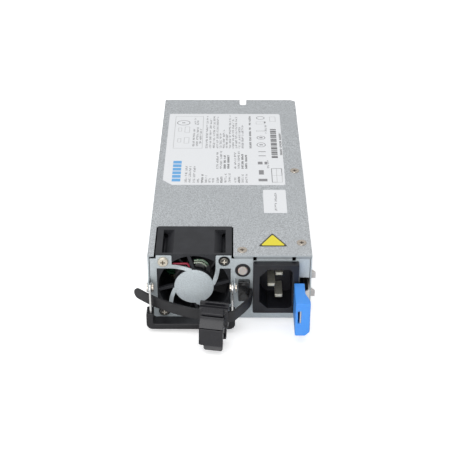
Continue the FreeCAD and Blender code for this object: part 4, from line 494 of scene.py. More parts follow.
class Bench:
    """The modelling bench: primitives, edit-mode steps and finishing, as by hand."""

    def __init__(self, nodes: dict[str, bpy.types.Object]) -> None:
        """Keeps the frame's nodes.

        Args:
            nodes: The CAD nodes by name.
        """
        self.nodes = nodes

    def clear(self) -> None:
        """Leaves edit mode and deselects everything."""
        if bpy.context.object and bpy.context.object.mode != "OBJECT":
            bpy.ops.object.mode_set(mode="OBJECT")
        bpy.ops.object.select_all(action="DESELECT")

    def hold(self, piece: bpy.types.Object) -> bpy.types.Object:
        """Selects one object and makes it active."""
        self.clear()
        piece.select_set(True)
        bpy.context.view_layer.objects.active = piece
        return piece

    def block(self, name: str, low: Place, high: Place) -> bpy.types.Object:
        """A box between two corners, in millimetres."""
        self.clear()
        middle = [(a + b) / 2 * MM for a, b in zip(low, high)]
        bpy.ops.mesh.primitive_cube_add(size=1.0, location=middle)
        piece = bpy.context.object
        piece.scale = [(b - a) * MM for a, b in zip(low, high)]
        return self.settle(piece, name)

    def disc(self, name: str, centre: Place, radius: float, depth: float, axis: str = "Y",
             sides: int = 48) -> bpy.types.Object:
        """A round blank about a centre, in millimetres.

        Args:
            name: The piece's name.
            centre: The blank's middle.
            radius: Its radius.
            depth: Its length along the axis.
            axis: X, Y or Z.
            sides: How many sides the round has.

        Returns:
            The blank, with its place in its mesh.
        """
        self.clear()
        turn = {"X": (0, math.pi / 2, 0), "Y": (math.pi / 2, 0, 0), "Z": (0, 0, 0)}[axis]
        bpy.ops.mesh.primitive_cylinder_add(vertices=sides, radius=radius * MM,
                                            depth=depth * MM, rotation=turn,
                                            location=[value * MM for value in centre])
        return self.settle(bpy.context.object, name)

    def settle(self, piece: bpy.types.Object, name: str) -> bpy.types.Object:
        """Names a piece and moves its place, turn and scale into its mesh."""
        self.hold(piece)
        bpy.ops.object.transform_apply(location=True, rotation=True, scale=True)
        piece.name = name
        piece.data.name = name
        return piece

    def pick(self, piece: bpy.types.Object, part: Part, test: Test) -> int:
        """Enters edit mode and selects the parts that pass a test.

        Args:
            piece: The piece to work on.
            part: Whether vertices, edges or faces are selected.
            test: Takes a part's middle in millimetres and its normal or direction.

        Returns:
            How many parts are selected.
        """
        if bpy.context.object is not piece or piece.mode != "EDIT":
            self.hold(piece)
            bpy.ops.object.mode_set(mode="EDIT")
        bpy.ops.mesh.select_mode(type=part.value)
        bpy.ops.mesh.select_all(action="DESELECT")
        mesh = bmesh.from_edit_mesh(piece.data)
        count = 0
        if part is Part.VERTEX:
            found = [(v, v.co, v.normal) for v in mesh.verts]
        elif part is Part.EDGE:
            found = [(e, (e.verts[0].co + e.verts[1].co) / 2,
                      (e.verts[1].co - e.verts[0].co).normalized()) for e in mesh.edges]
        else:
            found = [(f, f.calc_center_median(), f.normal) for f in mesh.faces]
        for item, middle, normal in found:
            if test(middle / MM, normal):
                item.select_set(True)
                count += 1
        mesh.select_flush_mode()
        bmesh.update_edit_mesh(piece.data)
        return count

    def extrude(self, move: Place) -> None:
        """Extrudes the selected faces by a move in millimetres."""
        value = [step * MM for step in move]
        bpy.ops.mesh.extrude_region_move(TRANSFORM_OT_translate={"value": value})

    def inset(self, rim: float, depth: float = 0.0) -> None:
        """Insets the selected faces, and raises or sinks them."""
        bpy.ops.mesh.inset(thickness=rim * MM, depth=depth * MM)

    def bevel(self, size: float, segments: int = 3, vertices: bool = False) -> None:
        """Rounds the selected edges, or vertices."""
        bpy.ops.mesh.bevel(offset=size * MM, segments=segments, profile=0.5,
                           affect="VERTICES" if vertices else "EDGES")

    def modify(self, piece: bpy.types.Object, kind: str, **settings: object) -> None:
        """Adds a modifier with its settings and applies it."""
        self.hold(piece)
        modifier = piece.modifiers.new(kind.lower(), kind)
        for word, value in settings.items():
            setattr(modifier, word, value)
        bpy.ops.object.modifier_apply(modifier=modifier.name)

    def soften_edges(self, piece: bpy.types.Object, size: float, angle: float = 35.0,
                     segments: int = 2) -> None:
        """Rounds every edge sharper than an angle, by a size in millimetres."""
        self.modify(piece, "BEVEL", width=size * MM, segments=segments,
                    limit_method="ANGLE", angle_limit=math.radians(angle),
                    use_clamp_overlap=False)

    def cable(self, name: str, route: Sequence[Place], radius: float) -> bpy.types.Object:
        """A round lead along a smooth curve by its corners, with closed ends.

        Args:
            name: The piece's name.
            route: The curve's corners, in millimetres.
            radius: The lead's radius.

        Returns:
            The lead's mesh.
        """
        self.clear()
        curve = bpy.data.curves.new(name, "CURVE")
        curve.dimensions = "3D"
        spline = curve.splines.new("NURBS")
        spline.points.add(len(route) - 1)
        for point, place in zip(spline.points, route):
            point.co = (*(value * MM for value in place), 1.0)
        spline.order_u = 3
        spline.use_endpoint_u = True
        spline.resolution_u = 10
        curve.bevel_depth = radius * MM
        curve.bevel_resolution = 5
        curve.use_fill_caps = True
        lead = bpy.data.objects.new(name, curve)
        bpy.context.scene.collection.objects.link(lead)
        self.hold(lead)
        bpy.ops.object.convert(target="MESH")
        return self.settle(bpy.context.object, name)

    def carve(self, piece: bpy.types.Object, tool: bpy.types.Object,
              operation: str = "DIFFERENCE") -> None:
        """Cuts a tool out of a piece, or joins them, and discards the tool."""
        self.modify(piece, "BOOLEAN", object=tool, operation=operation, solver="EXACT")
        bpy.data.objects.remove(tool)

    def join(self, name: str, pieces: Sequence[bpy.types.Object]) -> bpy.types.Object:
        """Makes one piece of several, with all their faces."""
        self.hold(pieces[0])
        for piece in pieces:
            piece.select_set(True)
        bpy.ops.object.join()
        return self.settle(pieces[0], name)

    def copy(self, piece: bpy.types.Object, move: Place = (0, 0, 0)) -> bpy.types.Object:
        """A copy with its own mesh, moved by millimetres."""
        twin = piece.copy()
        twin.data = piece.data.copy()
        bpy.context.scene.collection.objects.link(twin)
        twin.location = [step * MM for step in move]
        return self.settle(twin, piece.name)

    def trace(self, node: str, size: float, angle: float = 35.0) -> bpy.types.Object:
        """A copy of a CAD solid with merged faces and softened edges, in its place.

        Args:
            node: The CAD node that is copied.
            size: How far its edges are rounded, in millimetres.
            angle: The turn from which an edge counts as sharp, in degrees.

        Returns:
            The new piece, which stands for the node.
        """
        source = self.nodes[node]
        piece = bpy.data.objects.new(f"{node}_dressed", source.data.copy())
        bpy.context.scene.collection.objects.link(piece)
        self.hold(piece)
        bpy.ops.object.mode_set(mode="EDIT")
        bpy.ops.mesh.select_all(action="SELECT")
        bpy.ops.mesh.remove_doubles(threshold=0.002 * MM)
        bpy.ops.mesh.dissolve_limited(angle_limit=math.radians(0.6))
        self.clear()
        if size:
            self.soften_edges(piece, size, angle)
        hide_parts(node)
        return piece

    def finish(self, piece: bpy.types.Object, body: str, finish: Finish, slot: str,
               smooth: float = 40.0) -> bpy.types.Object:
        """Gives a piece its normals, finish and body, and reports it.

        Args:
            piece: The finished mesh.
            body: The CAD body it rides on.
            finish: Its finish.
            slot: The record's material slot; not used.
            smooth: The angle up to which its faces are shaded as one.

        Returns:
            The piece.
        """
        self.hold(piece)
        bpy.ops.object.shade_smooth_by_angle(angle=math.radians(smooth))
        self.modify(piece, "WEIGHTED_NORMAL", keep_sharp=True, weight=100)
        piece.data.materials.clear()
        piece.data.materials.append(finish.material)
        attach(piece, body)
        LOG.info("piece %s: %d faces, rides on %s", piece.name, len(piece.data.polygons), body)
        return piece

    def paint(self, piece: bpy.types.Object, finish: Finish, test: Test) -> None:
        """Gives the faces that pass a test a second finish."""
        self.pick(piece, Part.FACE, test)
        self.clear()
        piece.data.materials.append(finish.material)
        last = len(piece.data.materials) - 1
        for face in piece.data.polygons:
            if face.select:
                face.material_index = last
        LOG.info("painted %s with %s", piece.name, finish.name)

    def dress(self, node: str, finish: Finish) -> None:
        """Gives a CAD node its finish, by its material slots."""
        data = self.nodes[node].data
        if not data.materials:
            data.materials.append(finish.material)
        for index in range(len(data.materials)):
            data.materials[index] = finish.material
        LOG.info("node %s: %s", node, finish.name)


# ------------------------------------------------------------------ shared places, in mm

FRONT = -96.0
COVER_TOP = 39.5
FAN_X = -18.9
FAN_Z = 20.0


def cross_recess(bench: Bench, head: bpy.types.Object, centre: Place, axis: str,
                 length: float, width: float, depth: float) -> None:
    """Sinks a Phillips recess with tapered wings into a screw's head.

    Args:
        bench: The modelling bench.
        head: The screw's head.
        centre: The middle of the head's crown, in millimetres.
        axis: The screw's axis, Y for a head that faces -Y or Z for one that faces +Z.
        length: The recess's length from wing to wing.
        width: A wing's width.
        depth: How deep it goes.
    """
    along = {"Y": 1, "Z": 2}[axis]
    across = [index for index in range(3) if index != along]
    for wing in (0, 1):
        reach = [0.0, 0.0, 0.0]
        reach[along] = depth
        reach[across[wing]] = length / 2
        reach[across[1 - wing]] = width / 2
        low = [c - r for c, r in zip(centre, reach)]
        high = [c + r for c, r in zip(centre, reach)]
        tool = bench.block("recess_tool", low, high)
        inward = 1.0 if axis == "Y" else -1.0
        bench.pick(tool, Part.FACE, lambda middle, normal: normal[along] * inward > FACING)
        bpy.ops.transform.resize(value=(0.55, 0.55, 0.55))
        bench.clear()
        bench.carve(head, tool)


# ------------------------------------------------------------------ sub-assemblies


@dataclass
class Casing:
    """Folded tray, cover and rear panel, with the fastenings that show on them."""

    bench: Bench
    edge: float = 0.14
    screw_places: tuple[tuple[float, float], ...] = ((6.5, 5.4), (38.0, 12.7), (38.1, 92.8))
    head_radius: float = 2.6
    head_rise: float = 0.5
    head_depth: float = 1.2
    head_edge: float = 0.07
    rim_width: float = 0.45
    step_width: float = 0.3
    step_depth: float = 0.12
    cross: tuple[float, float, float] = (3.0, 0.9, 0.95)
    cross_reach: float = 1.75
    cross_floor: float = 0.14
    lip_lean: float = 0.3
    lip_reach: float = 1.0

    def build(self) -> None:
        """Builds the casing's pieces."""
        bench = self.bench
        tray = bench.trace("chassis_tray", self.edge)
        # The tray takes the panel's finish, with its painted light round the fan.
        bench.finish(tray, "chassis", Finish.PANEL, "galvanised_steel")
        cover = bench.trace("top_cover", self.edge)
        bench.finish(cover, "chassis", Finish.COVER, "cover_steel")
        # Painted shade: the faces along the cover's front edge that face the front take the
        # darker zinc.
        bench.paint(cover, Finish.LIP_SHADE,
                    lambda middle, normal: normal.y < -self.lip_lean and
                    middle.y < FRONT + self.lip_reach)
        self.cover_screws()
        bench.dress("rear_panel", Finish.TRAY)
        bench.dress("latch_rivets", Finish.SPRING)

    def cover_screws(self) -> None:
        """Low heads with a stepped rim and a Phillips recess."""
        bench = self.bench
        x, y = self.screw_places[0]
        crown = COVER_TOP + self.head_rise
        head = bench.disc("cover_screw", (x, FRONT + y, crown - self.head_depth / 2),
                          self.head_radius, self.head_depth, "Z")
        bench.pick(head, Part.FACE, lambda middle, normal: normal.z > FACING)
        bench.inset(self.rim_width, 0.0)
        bench.inset(self.step_width, -self.step_depth)
        bench.clear()
        cross_recess(bench, head, (x, FRONT + y, crown), "Z", *self.cross)
        bench.soften_edges(head, self.head_edge)
        heads = [head]
        for across, back in self.screw_places[1:]:
            heads.append(bench.copy(head, (across - x, back - y, 0)))
        screws = bench.join("cover_screw_heads", heads)
        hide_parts("cover_screws")
        bench.finish(screws, "chassis", Finish.SCREW, "nickel_screw")
        axes = [Vector((x, FRONT + y, 0)) for x, y in self.screw_places]
        # Painted shade: the recess faces below the crown take a dark tone.
        bench.paint(screws, Finish.CROSS_SHADE,
                    lambda middle, normal: middle.z < crown - self.cross_floor and
                    min((middle - axis).xy.length for axis in axes) < self.cross_reach)


@dataclass
class FanUnit:
    """Frame, rotor, leads and corner screws of the 40 mm fan."""

    bench: Bench
    pitch: float = 16.0
    head_radius: float = 2.75
    sunk_radius: float = 2.3
    head_rise: float = 1.6
    sheet: float = 0.8
    lead_radius: float = 0.55
    flange_thinning: float = 2.2
    pocket_reach: float = 8.0
    pocket_depth: float = 8.0
    frame_edge: float = 0.15
    crown_round: float = 0.55
    cross: tuple[float, float, float] = (3.3, 0.8, 0.9)
    cross_reach: float = 1.8
    cross_drop: float = 0.1
    lead_y: float = FRONT + 1.85
    lead_routes: dict[str, tuple[Finish, tuple[tuple[float, float], ...]]] = field(
        default_factory=lambda: {
            "fan_lead_red": (Finish.RED_LEAD, ((-2.4, 11.1), (-2.8, 13.4), (-5.0, 13.5),
                                               (-11.3, 13.2))),
            "fan_lead_green": (Finish.GREEN_LEAD, ((0.3, 15.4), (3.6, 16.1), (6.6, 14.4),
                                                   (8.3, 11.0), (8.2, 8.2))),
            "fan_lead_white": (Finish.WHITE_LEAD, ((0.2, 13.9), (3.2, 14.6), (5.7, 13.1),
                                                   (7.2, 10.8), (7.0, 9.2))),
        })

    def build(self) -> None:
        """Builds the fan's pieces."""
        bench = self.bench
        frame = bench.trace("fan_frame", 0.0)
        self.open_pockets(frame)
        bench.soften_edges(frame, self.frame_edge)
        bench.finish(frame, "chassis", Finish.FAN, "fan_plastic")
        rotor = bench.trace("fan_impeller", 0.0)
        bench.finish(rotor, "fan_rotor", Finish.BLADES, "fan_plastic", 50.0)
        for node in ("fan_bearings", "fan_shaft"):
            bench.dress(node, Finish.BEARING)
        bench.dress("fan_stator", Finish.LAMINATION)
        bench.dress("rotor_magnet", Finish.FERRITE)
        self.screws()
        self.leads()

    def open_pockets(self, frame: bpy.types.Object) -> None:
        """Lets the corner pockets reach the front flange."""
        bench = self.bench

        def is_front_wall(middle: Vector, normal: Vector) -> bool:
            """Whether a face closes a pocket towards the front."""
            corner = min(abs(middle.x - FAN_X), abs(middle.z - FAN_Z))
            return normal.y > FACING and corner > self.pocket_reach and \
                middle.y < FRONT + self.pocket_depth

        count = bench.pick(frame, Part.FACE, is_front_wall)
        bpy.ops.transform.translate(value=(0, -self.flange_thinning * MM, 0))
        LOG.info("fan frame: %d pocket walls moved", count)
        bench.clear()

    def screws(self) -> None:
        """Pan heads with a Phillips recess: one on its tab, three in wide holes."""
        bench = self.bench
        places = [(FAN_X + across * self.pitch, FRONT + seat - self.head_rise / 2,
                   FAN_Z + up * self.pitch)
                  for across, up, seat in ((-1, 1, 0.0), (1, 1, self.sheet),
                                           (-1, -1, self.sheet), (1, -1, self.sheet))]
        tab_screw = self.screw_head(places[0], self.head_radius)
        first = self.screw_head(places[1], self.sunk_radius)
        sunk = [first] + [bench.copy(first, [a - b for a, b in zip(place, places[1])])
                          for place in places[2:]]
        tab_screw.name = "fan_tab_screw"
        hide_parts("fan_screws")
        bench.finish(tab_screw, "chassis", Finish.TAB_SCREW, "nickel_screw")
        heads = bench.join("fan_screw_heads", sunk)
        # Painted shade: the sunk heads take the dark tone of their holes' shade.
        bench.finish(heads, "chassis", Finish.SUNK_SCREW_SHADE, "nickel_screw")

        def in_cross(middle: Vector, normal: Vector) -> bool:
            """Whether a face lies inside a head's recess."""
            near = min(math.hypot(middle.x - x, middle.z - z) for x, y, z in places)
            crown = FRONT - self.head_rise + (self.sheet if near > self.pitch else 0.0)
            return near < self.cross_reach and middle.y > crown + self.cross_drop

        # Painted shade: the tab screw's recess faces take a tan-brown tone.
        bench.paint(tab_screw, Finish.TAN_CROSS_SHADE, in_cross)
        # Painted highlight: the sunk heads' recess faces take a bright tone.
        bench.paint(heads, Finish.CROSS_HIGHLIGHT,
                    lambda middle, normal: in_cross(middle - Vector((0, self.sheet, 0)),
                                                    normal))

    def screw_head(self, place: Place, radius: float) -> bpy.types.Object:
        """One pan head that faces -Y."""
        bench = self.bench
        head = bench.disc("fan_screw", place, radius, self.head_rise)
        crown = place[1] - self.head_rise / 2
        bench.pick(head, Part.EDGE, lambda middle, way: abs(middle.y - crown) < NEAR)
        bench.bevel(self.crown_round, 4)
        bench.clear()
        cross_recess(bench, head, (place[0], crown, place[2]), "Y", *self.cross)
        return head

    def leads(self) -> None:
        """Insulated leads round the motor's base, in front of the blades."""
        bench = self.bench
        for name, (finish, route) in self.lead_routes.items():
            places = [(FAN_X + x, self.lead_y, FAN_Z + z) for x, z in route]
            piece = bench.cable(name, places, self.lead_radius)
            bench.finish(piece, "chassis", finish, "lead_insulation", 60.0)
        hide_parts("fan_leads")


@dataclass
class MainsInlet:
    """Moulded inlet with its proud rim, keyed socket and three nickel blades."""

    bench: Bench
    shell_edge: float = 0.22
    blade_edge: float = 0.12

    def build(self) -> None:
        """Builds the inlet's pieces."""
        bench = self.bench
        shell = bench.trace("inlet_housing", self.shell_edge)
        bench.finish(shell, "chassis", Finish.INLET, "black_plastic")
        blades = bench.trace("inlet_blades", self.blade_edge)
        bench.finish(blades, "chassis", Finish.BLADE, "nickel_blade")


@dataclass
class StatusLamp:
    """Frosted light pipe in a dark grommet."""

    bench: Bench
    centre_x: float = 6.8
    centre_z: float = 30.5
    radius: float = 2.55
    play: float = 0.02
    depth: float = 5.0
    proud: float = 1.0
    edge_round: float = 0.5
    rim_width: float = 0.55
    groove_width: float = 0.15
    groove_depth: float = 0.12
    grommet_edge: float = 0.25

    def build(self) -> None:
        """Builds the lens and its grommet."""
        bench = self.bench
        face = FRONT - self.proud
        lens = bench.disc("lamp_lens",
                          (self.centre_x, face + self.depth / 2, self.centre_z),
                          self.radius - self.play, self.depth)
        bench.pick(lens, Part.EDGE, lambda middle, way: abs(middle.y - face) < NEAR)
        bench.bevel(self.edge_round, 4)
        bench.pick(lens, Part.FACE, lambda middle, normal: normal.y < -SQUARE_ON)
        bench.inset(self.rim_width, 0.0)
        bench.inset(self.groove_width, -self.groove_depth)
        bench.clear()
        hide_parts("status_lamp")
        bench.finish(lens, "chassis", Finish.LENS, "frosted_lens")
        grommet = bench.trace("lamp_bezel", self.grommet_edge)
        bench.finish(grommet, "chassis", Finish.GRIP, "black_plastic")


@dataclass
class StrapAnchor:
    """Snap-in block that holds the strap's root."""

    bench: Bench
    edge: float = 0.25

    def build(self) -> None:
        """Builds the anchor."""
        piece = self.bench.trace("strap_anchor", self.edge)
        self.bench.finish(piece, "chassis", Finish.ANCHOR, "black_plastic")


@dataclass
class BailHandle:
    """Two plated arms and the moulded grip that hangs between them."""

    bench: Bench
    arm_edge: float = 0.18
    grip_edge: float = 0.3

    def build(self) -> None:
        """Builds the handle's pieces."""
        bench = self.bench
        for node in ("handle_arm_left", "handle_arm_right"):
            arm = bench.trace(node, self.arm_edge)
            bench.finish(arm, "handle", Finish.ARM, "handle_steel")
        grip = bench.trace("handle_grip", self.grip_edge)
        bench.finish(grip, "handle", Finish.GRIP, "black_plastic")
        bench.dress("handle_pivots", Finish.SCREW)


@dataclass
class CordStrap:
    """Flat nylon strap, from its anchor round to a free tip; its ratchet face is not modelled.
    """

    bench: Bench
    route: tuple[tuple[float, float], ...] = ((11.3, 0.6), (11.3, 6.4), (8.4, 12.4),
                                              (4.4, 18.0), (0.9, 22.95), (-8.7, 21.22),
                                              (-16.6, 19.8), (-25.0, 16.9), (-33.4, 12.4),
                                              (-41.4, 7.6), (-50.4, -0.6))
    thickness: float = 1.3
    height: float = 6.0
    low: float = 13.5
    tip_length: float = 3.2
    tip_round: float = 2.9
    tip_steps: int = 6
    end_band: float = 0.1
    edge: float = 0.16
    edge_angle: float = 50.0
    smooth_angle: float = 30.0
    steps: int = 110
    curve_steps: int = 24

    def build(self) -> None:
        """Builds the strap straight, then bends it along its route."""
        bench = self.bench
        path = self.path()
        length = path.data.splines[0].calc_length() / MM
        straight = length - self.tip_length
        strap = bench.block("cord_strap_band", (0, -self.thickness / 2, self.low),
                            (straight, self.thickness / 2, self.low + self.height))
        bench.pick(strap, Part.EDGE, lambda middle, way: abs(way.x) > FACING)
        bpy.ops.mesh.subdivide(number_cuts=self.steps)
        bench.pick(strap, Part.FACE,
                   lambda middle, normal: normal.x > FACING and
                   middle.x > straight - self.end_band)
        bench.extrude((self.tip_length, 0, 0))
        bench.pick(strap, Part.EDGE,
                   lambda middle, way: abs(way.y) > FACING and middle.x > length - self.end_band)
        bench.bevel(self.tip_round, self.tip_steps)
        bench.clear()
        bench.soften_edges(strap, self.edge, self.edge_angle)
        bench.modify(strap, "CURVE", object=path, deform_axis="POS_X")
        bpy.data.objects.remove(path)
        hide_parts("cord_strap")
        bench.finish(strap, "handle", Finish.NYLON, "black_nylon", self.smooth_angle)

    def path(self) -> bpy.types.Object:
        """The strap's centre line at the floor, a smooth curve by its corners."""
        self.bench.clear()
        curve = bpy.data.curves.new("strap_route", "CURVE")
        curve.dimensions = "2D"
        spline = curve.splines.new("NURBS")
        spline.points.add(len(self.route) - 1)
        for point, (x, reach) in zip(spline.points, self.route):
            point.co = (x * MM, (FRONT - reach) * MM, 0.0, 1.0)
        spline.order_u = 3
        spline.use_endpoint_u = True
        spline.resolution_u = self.curve_steps
        path = bpy.data.objects.new("strap_route", curve)
        bpy.context.scene.collection.objects.link(path)
        bpy.context.view_layer.update()
        return path


@dataclass
class CordClip:
    """Sliding clip: housing, thumb lever, swinging jaw and hinge pin."""

    bench: Bench
    corner_radius: float = 1.7
    corner_top: float = 4.4
    jaw_left: float = -15.5
    lip_radius: float = 1.1
    lip_top: float = 2.55
    lip_left: float = -13.2
    lip_right: float = -4.0
    corner_steps: int = 5
    housing_edge: float = 0.25
    lever_edge: float = 0.2
    jaw_edge: float = 0.2
    edge_angle: float = 25.0

    def build(self) -> None:
        """Builds the clip's pieces."""
        bench = self.bench
        for node, body, edge in (("clip_housing", "clip", self.housing_edge),
                                 ("clip_lever", "thumb_lever", self.lever_edge)):
            piece = bench.trace(node, edge, self.edge_angle)
            bench.finish(piece, body, Finish.CLIP, "black_nylon")
        bench.dress("clip_pin", Finish.CLIP)
        self.jaw()

    def jaw(self) -> None:
        """The jaw, with round corners at its free edge and on its lip."""
        bench = self.bench
        jaw = bench.trace("clip_jaw", 0.0)
        for radius, top, is_end in (
                (self.corner_radius, self.corner_top, lambda x: x < self.jaw_left),
                (self.lip_radius, self.lip_top, lambda x: x < self.lip_left or
                 x > self.lip_right)):
            count = bench.pick(jaw, Part.EDGE,
                               lambda middle, way: middle.z < top and is_end(middle.x))
            if count:
                bench.bevel(radius, self.corner_steps)
            LOG.info("jaw: %d corners rounded", count)
        bench.clear()
        bench.soften_edges(jaw, self.jaw_edge, self.edge_angle)
        bench.finish(jaw, "swing_jaw", Finish.CLIP, "black_nylon")


@dataclass
class SideLatch:
    """Sprung steel strip and the moulded tab that releases it."""

    bench: Bench
    strip_edge: float = 0.12
    tab_edge: float = 0.35
    tab_angle: float = 30.0

    def build(self) -> None:
        """Builds the latch's pieces."""
        bench = self.bench
        strip = bench.trace("latch_spring", self.strip_edge)
        bench.finish(strip, "latch", Finish.SPRING, "spring_steel")
        tab = bench.trace("release_tab", self.tab_edge, self.tab_angle)
        bench.finish(tab, "latch", Finish.TAB, "blue_plastic")


@dataclass
class Electronics:
    """What is mounted behind the panels, dressed where the vents show it."""

    bench: Bench
    finishes: dict[str, Finish] = field(default_factory=lambda: {
        "main_board": Finish.BOARD, "control_board": Finish.BOARD,
        "insulator_sheet": Finish.SHEET, "board_spacers": Finish.SCREW,
        "board_screws": Finish.SCREW, "edge_contacts": Finish.GOLD,
        "bulk_capacitors": Finish.CAN, "output_capacitors": Finish.CAN,
        "filter_choke_core": Finish.FERRITE, "filter_choke_winding": Finish.COPPER,
        "film_capacitor": Finish.FILM_BOX, "relay": Finish.EPOXY, "fuse": Finish.SHEET,
        "primary_heat_sink": Finish.SINK, "output_heat_sink": Finish.SINK,
        "power_devices": Finish.EPOXY, "transformer_core": Finish.FERRITE,
        "transformer_winding": Finish.COPPER, "bus_bars": Finish.COPPER,
    })

    def build(self) -> None:
        """Dresses every inner node."""
        for node, finish in self.finishes.items():
            self.bench.dress(node, finish)


@dataclass
class CoverLabels:
    """Three stickers on the cover, with generic rules, rows and bars for print."""

    bench: Bench
    film_top: float = COVER_TOP + 0.15
    ink: float = 0.02
    cell: float = 0.42
    line_height: float = 1.25
    chance: random.Random = field(default_factory=lambda: random.Random(7))
    rows: tuple[tuple[float, float, float], ...] = (
        (-14.5, 25.6, 70.4), (-12.3, 25.6, 66.4), (-10.0, 25.6, 70.4), (-7.9, 25.6, 69.6),
        (-5.9, 25.6, 46.0), (-3.9, 25.6, 51.0), (-2.0, 25.6, 46.0), (-0.1, 25.6, 71.6),
        (1.9, 25.6, 66.0), (3.8, 25.6, 69.6), (5.8, 25.6, 56.0), (7.7, 25.6, 57.4),
        (-25.8, -17.6, 4.0), (-23.6, -17.6, 2.0), (-21.0, -17.8, 2.0), (-18.6, -17.6, -12.6),
        (-14.0, -18.0, -9.4), (-11.9, -17.6, -12.6), (-9.8, -17.6, -13.0),
        (-7.2, -18.0, -11.6), (-2.6, -17.6, -6.2), (-0.3, -17.6, -6.8), (3.0, -17.6, -11.6),
        (7.3, -17.6, -8.0), (9.6, -18.0, -6.6), (-7.6, -0.8, 20.0), (-5.4, -0.8, 22.0),
        (3.0, -0.8, 20.0), (5.2, -0.8, 22.0), (22.4, 46.0, 58.0), (22.6, 0.0, 10.0),
        (-22.2, 58.4, 67.6), (-20.6, 58.0, 64.0), (-22.6, 28.0, 52.0), (-20.4, 28.0, 54.0),
        (-18.4, 31.6, 52.0),
    )
    bold_rows: tuple[tuple[float, float, float], ...] = (
        (-16.2, -18.4, -8.0), (-5.0, -18.0, -10.4), (5.2, -18.0, -10.4), (-3.2, -0.8, 18.0),
        (-1.0, -0.8, 16.6), (7.4, -0.8, 18.0), (9.6, -0.8, 16.6), (12.5, 57.6, 70.6),
        (12.5, 25.6, 54.0), (31.0, 16.6, 47.0),
    )
    frames: tuple[tuple[float, float, float, float], ...] = (
        (-35.0, 25.2, -17.0, 70.3), (-28.6, 47.0, -25.4, 55.0), (-28.6, 32.0, -25.4, 40.0),
        (-32.6, 33.4, -30.4, 38.6), (-32.6, 48.4, -30.4, 53.6), (24.4, -17.4, 30.6, -0.4),
        (24.4, -9.2, 30.6, -0.4), (24.4, -17.4, 27.5, -0.4), (25.2, 62.8, 29.0, 69.8),
        (16.4, 48.4, 21.6, 50.0), (16.4, 59.0, 21.8, 62.6),
    )
    rings: tuple[tuple[float, float, float, float], ...] = (
        (-29.6, 60.7, 4.2, 3.5), (19.4, 68.1, 2.7, 2.3), (19.2, 39.9, 2.7, 2.4),
        (19.1, 30.2, 2.8, 3.0),
    )
    blocks: tuple[tuple[float, float, float, float], ...] = (
        (16.6, -16.2, 21.8, -13.2), (17.0, -8.0, 19.9, -2.6), (17.2, 15.2, 21.6, 16.0),
        (17.2, 20.6, 21.6, 21.4), (20.6, 4.6, 22.2, 8.0), (16.6, 4.6, 19.4, 8.0),
        (21.6, 60.4, 22.6, 62.8), (18.2, 39.2, 20.2, 40.6), (18.0, 29.6, 20.2, 30.8),
        (-30.6, 60.2, -28.6, 61.2),
    )
    bars: tuple[float, float, float, float] = (25.1, 12.9, 28.8, 54.5)
    bar_pitch: float = 1.9
    mark: tuple[float, float, float, float] = (-33.9, -16.6, -28.9, 9.6)
    mark_pitch: float = 4.4
    note_rows: tuple[tuple[float, float, float], ...] = ((25.6, -50.0, -41.6),
                                                         (25.8, -39.6, -29.2))
    border: float = 0.82

    def build(self) -> None:
        """Builds the stickers and their print."""
        bench = self.bench
        for node in ("rating_label", "small_label"):
            film = bench.trace(node, 0.05)
            bench.finish(film, "chassis", Finish.LABEL, "label_paper")
        grey = [self.row(*row, 0.62) for row in self.rows]
        grey += [self.row(*row, 0.72) for row in self.note_rows]
        self.lay("label_print_rows", grey, Finish.GREY_INK)
        dark = [self.row(*row, 0.85) for row in self.bold_rows]
        dark += [self.patch(*place) for place in self.bar_places()]
        self.lay("label_print_bold", dark, Finish.DARK_INK)
        outline = [self.frame(*place) for place in self.frames]
        self.lay("label_print_frames", outline, Finish.PALE_INK)
        marks = [self.ring(*place) for place in self.rings]
        marks += [self.patch(*place) for place in self.blocks]
        self.lay("label_print_marks", marks, Finish.GREY_INK)
        blue = [self.patch(*place) for place in self.mark_places()]
        self.lay("label_print_blue", blue, Finish.BLUE_INK)
        self.triangle()

    def sheet(self, name: str, low: Sequence[float], high: Sequence[float],
              columns: int = 1, rows: int = 1) -> bpy.types.Object:
        """A flat grid on the film, between two corners in millimetres."""
        self.bench.clear()
        middle = [(a + b) / 2 * MM for a, b in zip(low, high)]
        bpy.ops.mesh.primitive_grid_add(x_subdivisions=columns, y_subdivisions=rows, size=1.0,
                                        location=(*middle, (self.film_top + self.ink) * MM))
        piece = bpy.context.object
        piece.scale = [*((b - a) * MM for a, b in zip(low, high)), 1.0]
        return self.bench.settle(piece, name)

    def row(self, x: float, start: float, end: float, fill: float) -> bpy.types.Object:
        """A row of unreadable small marks, parted like words, along Y."""
        half = self.line_height / 2
        steps = round((end - start) / self.cell)
        piece = self.sheet("print_row", (x - half, start), (x + half, end), 3, steps)
        gaps = set()
        place = self.chance.randint(3, 8)
        while place < steps:
            gaps.add(place)
            place += self.chance.randint(4, 10)
        spare = {(column, step) for column in range(3) for step in range(steps)
                 if step % 3 == 2 or step // 3 in gaps or self.chance.random() > fill}
        width = self.line_height / 3

        def is_blank(middle: Vector, normal: Vector) -> bool:
            column = int((middle.x - x + half) / width)
            return (column, int((middle.y - start) / self.cell)) in spare

        self.bench.pick(piece, Part.FACE, is_blank)
        bpy.ops.mesh.delete(type="FACE")
        self.bench.clear()
        return piece

    def patch(self, left: float, low: float, right: float, high: float) -> bpy.types.Object:
        """A plain printed rectangle."""
        return self.sheet("print_patch", (left, low), (right, high))

    def frame(self, left: float, low: float, right: float, high: float,
              stroke: float = 0.28) -> bpy.types.Object:
        """A thin ruled rectangle."""
        piece = self.patch(left, low, right, high)
        self.hollow(piece, stroke)
        return piece

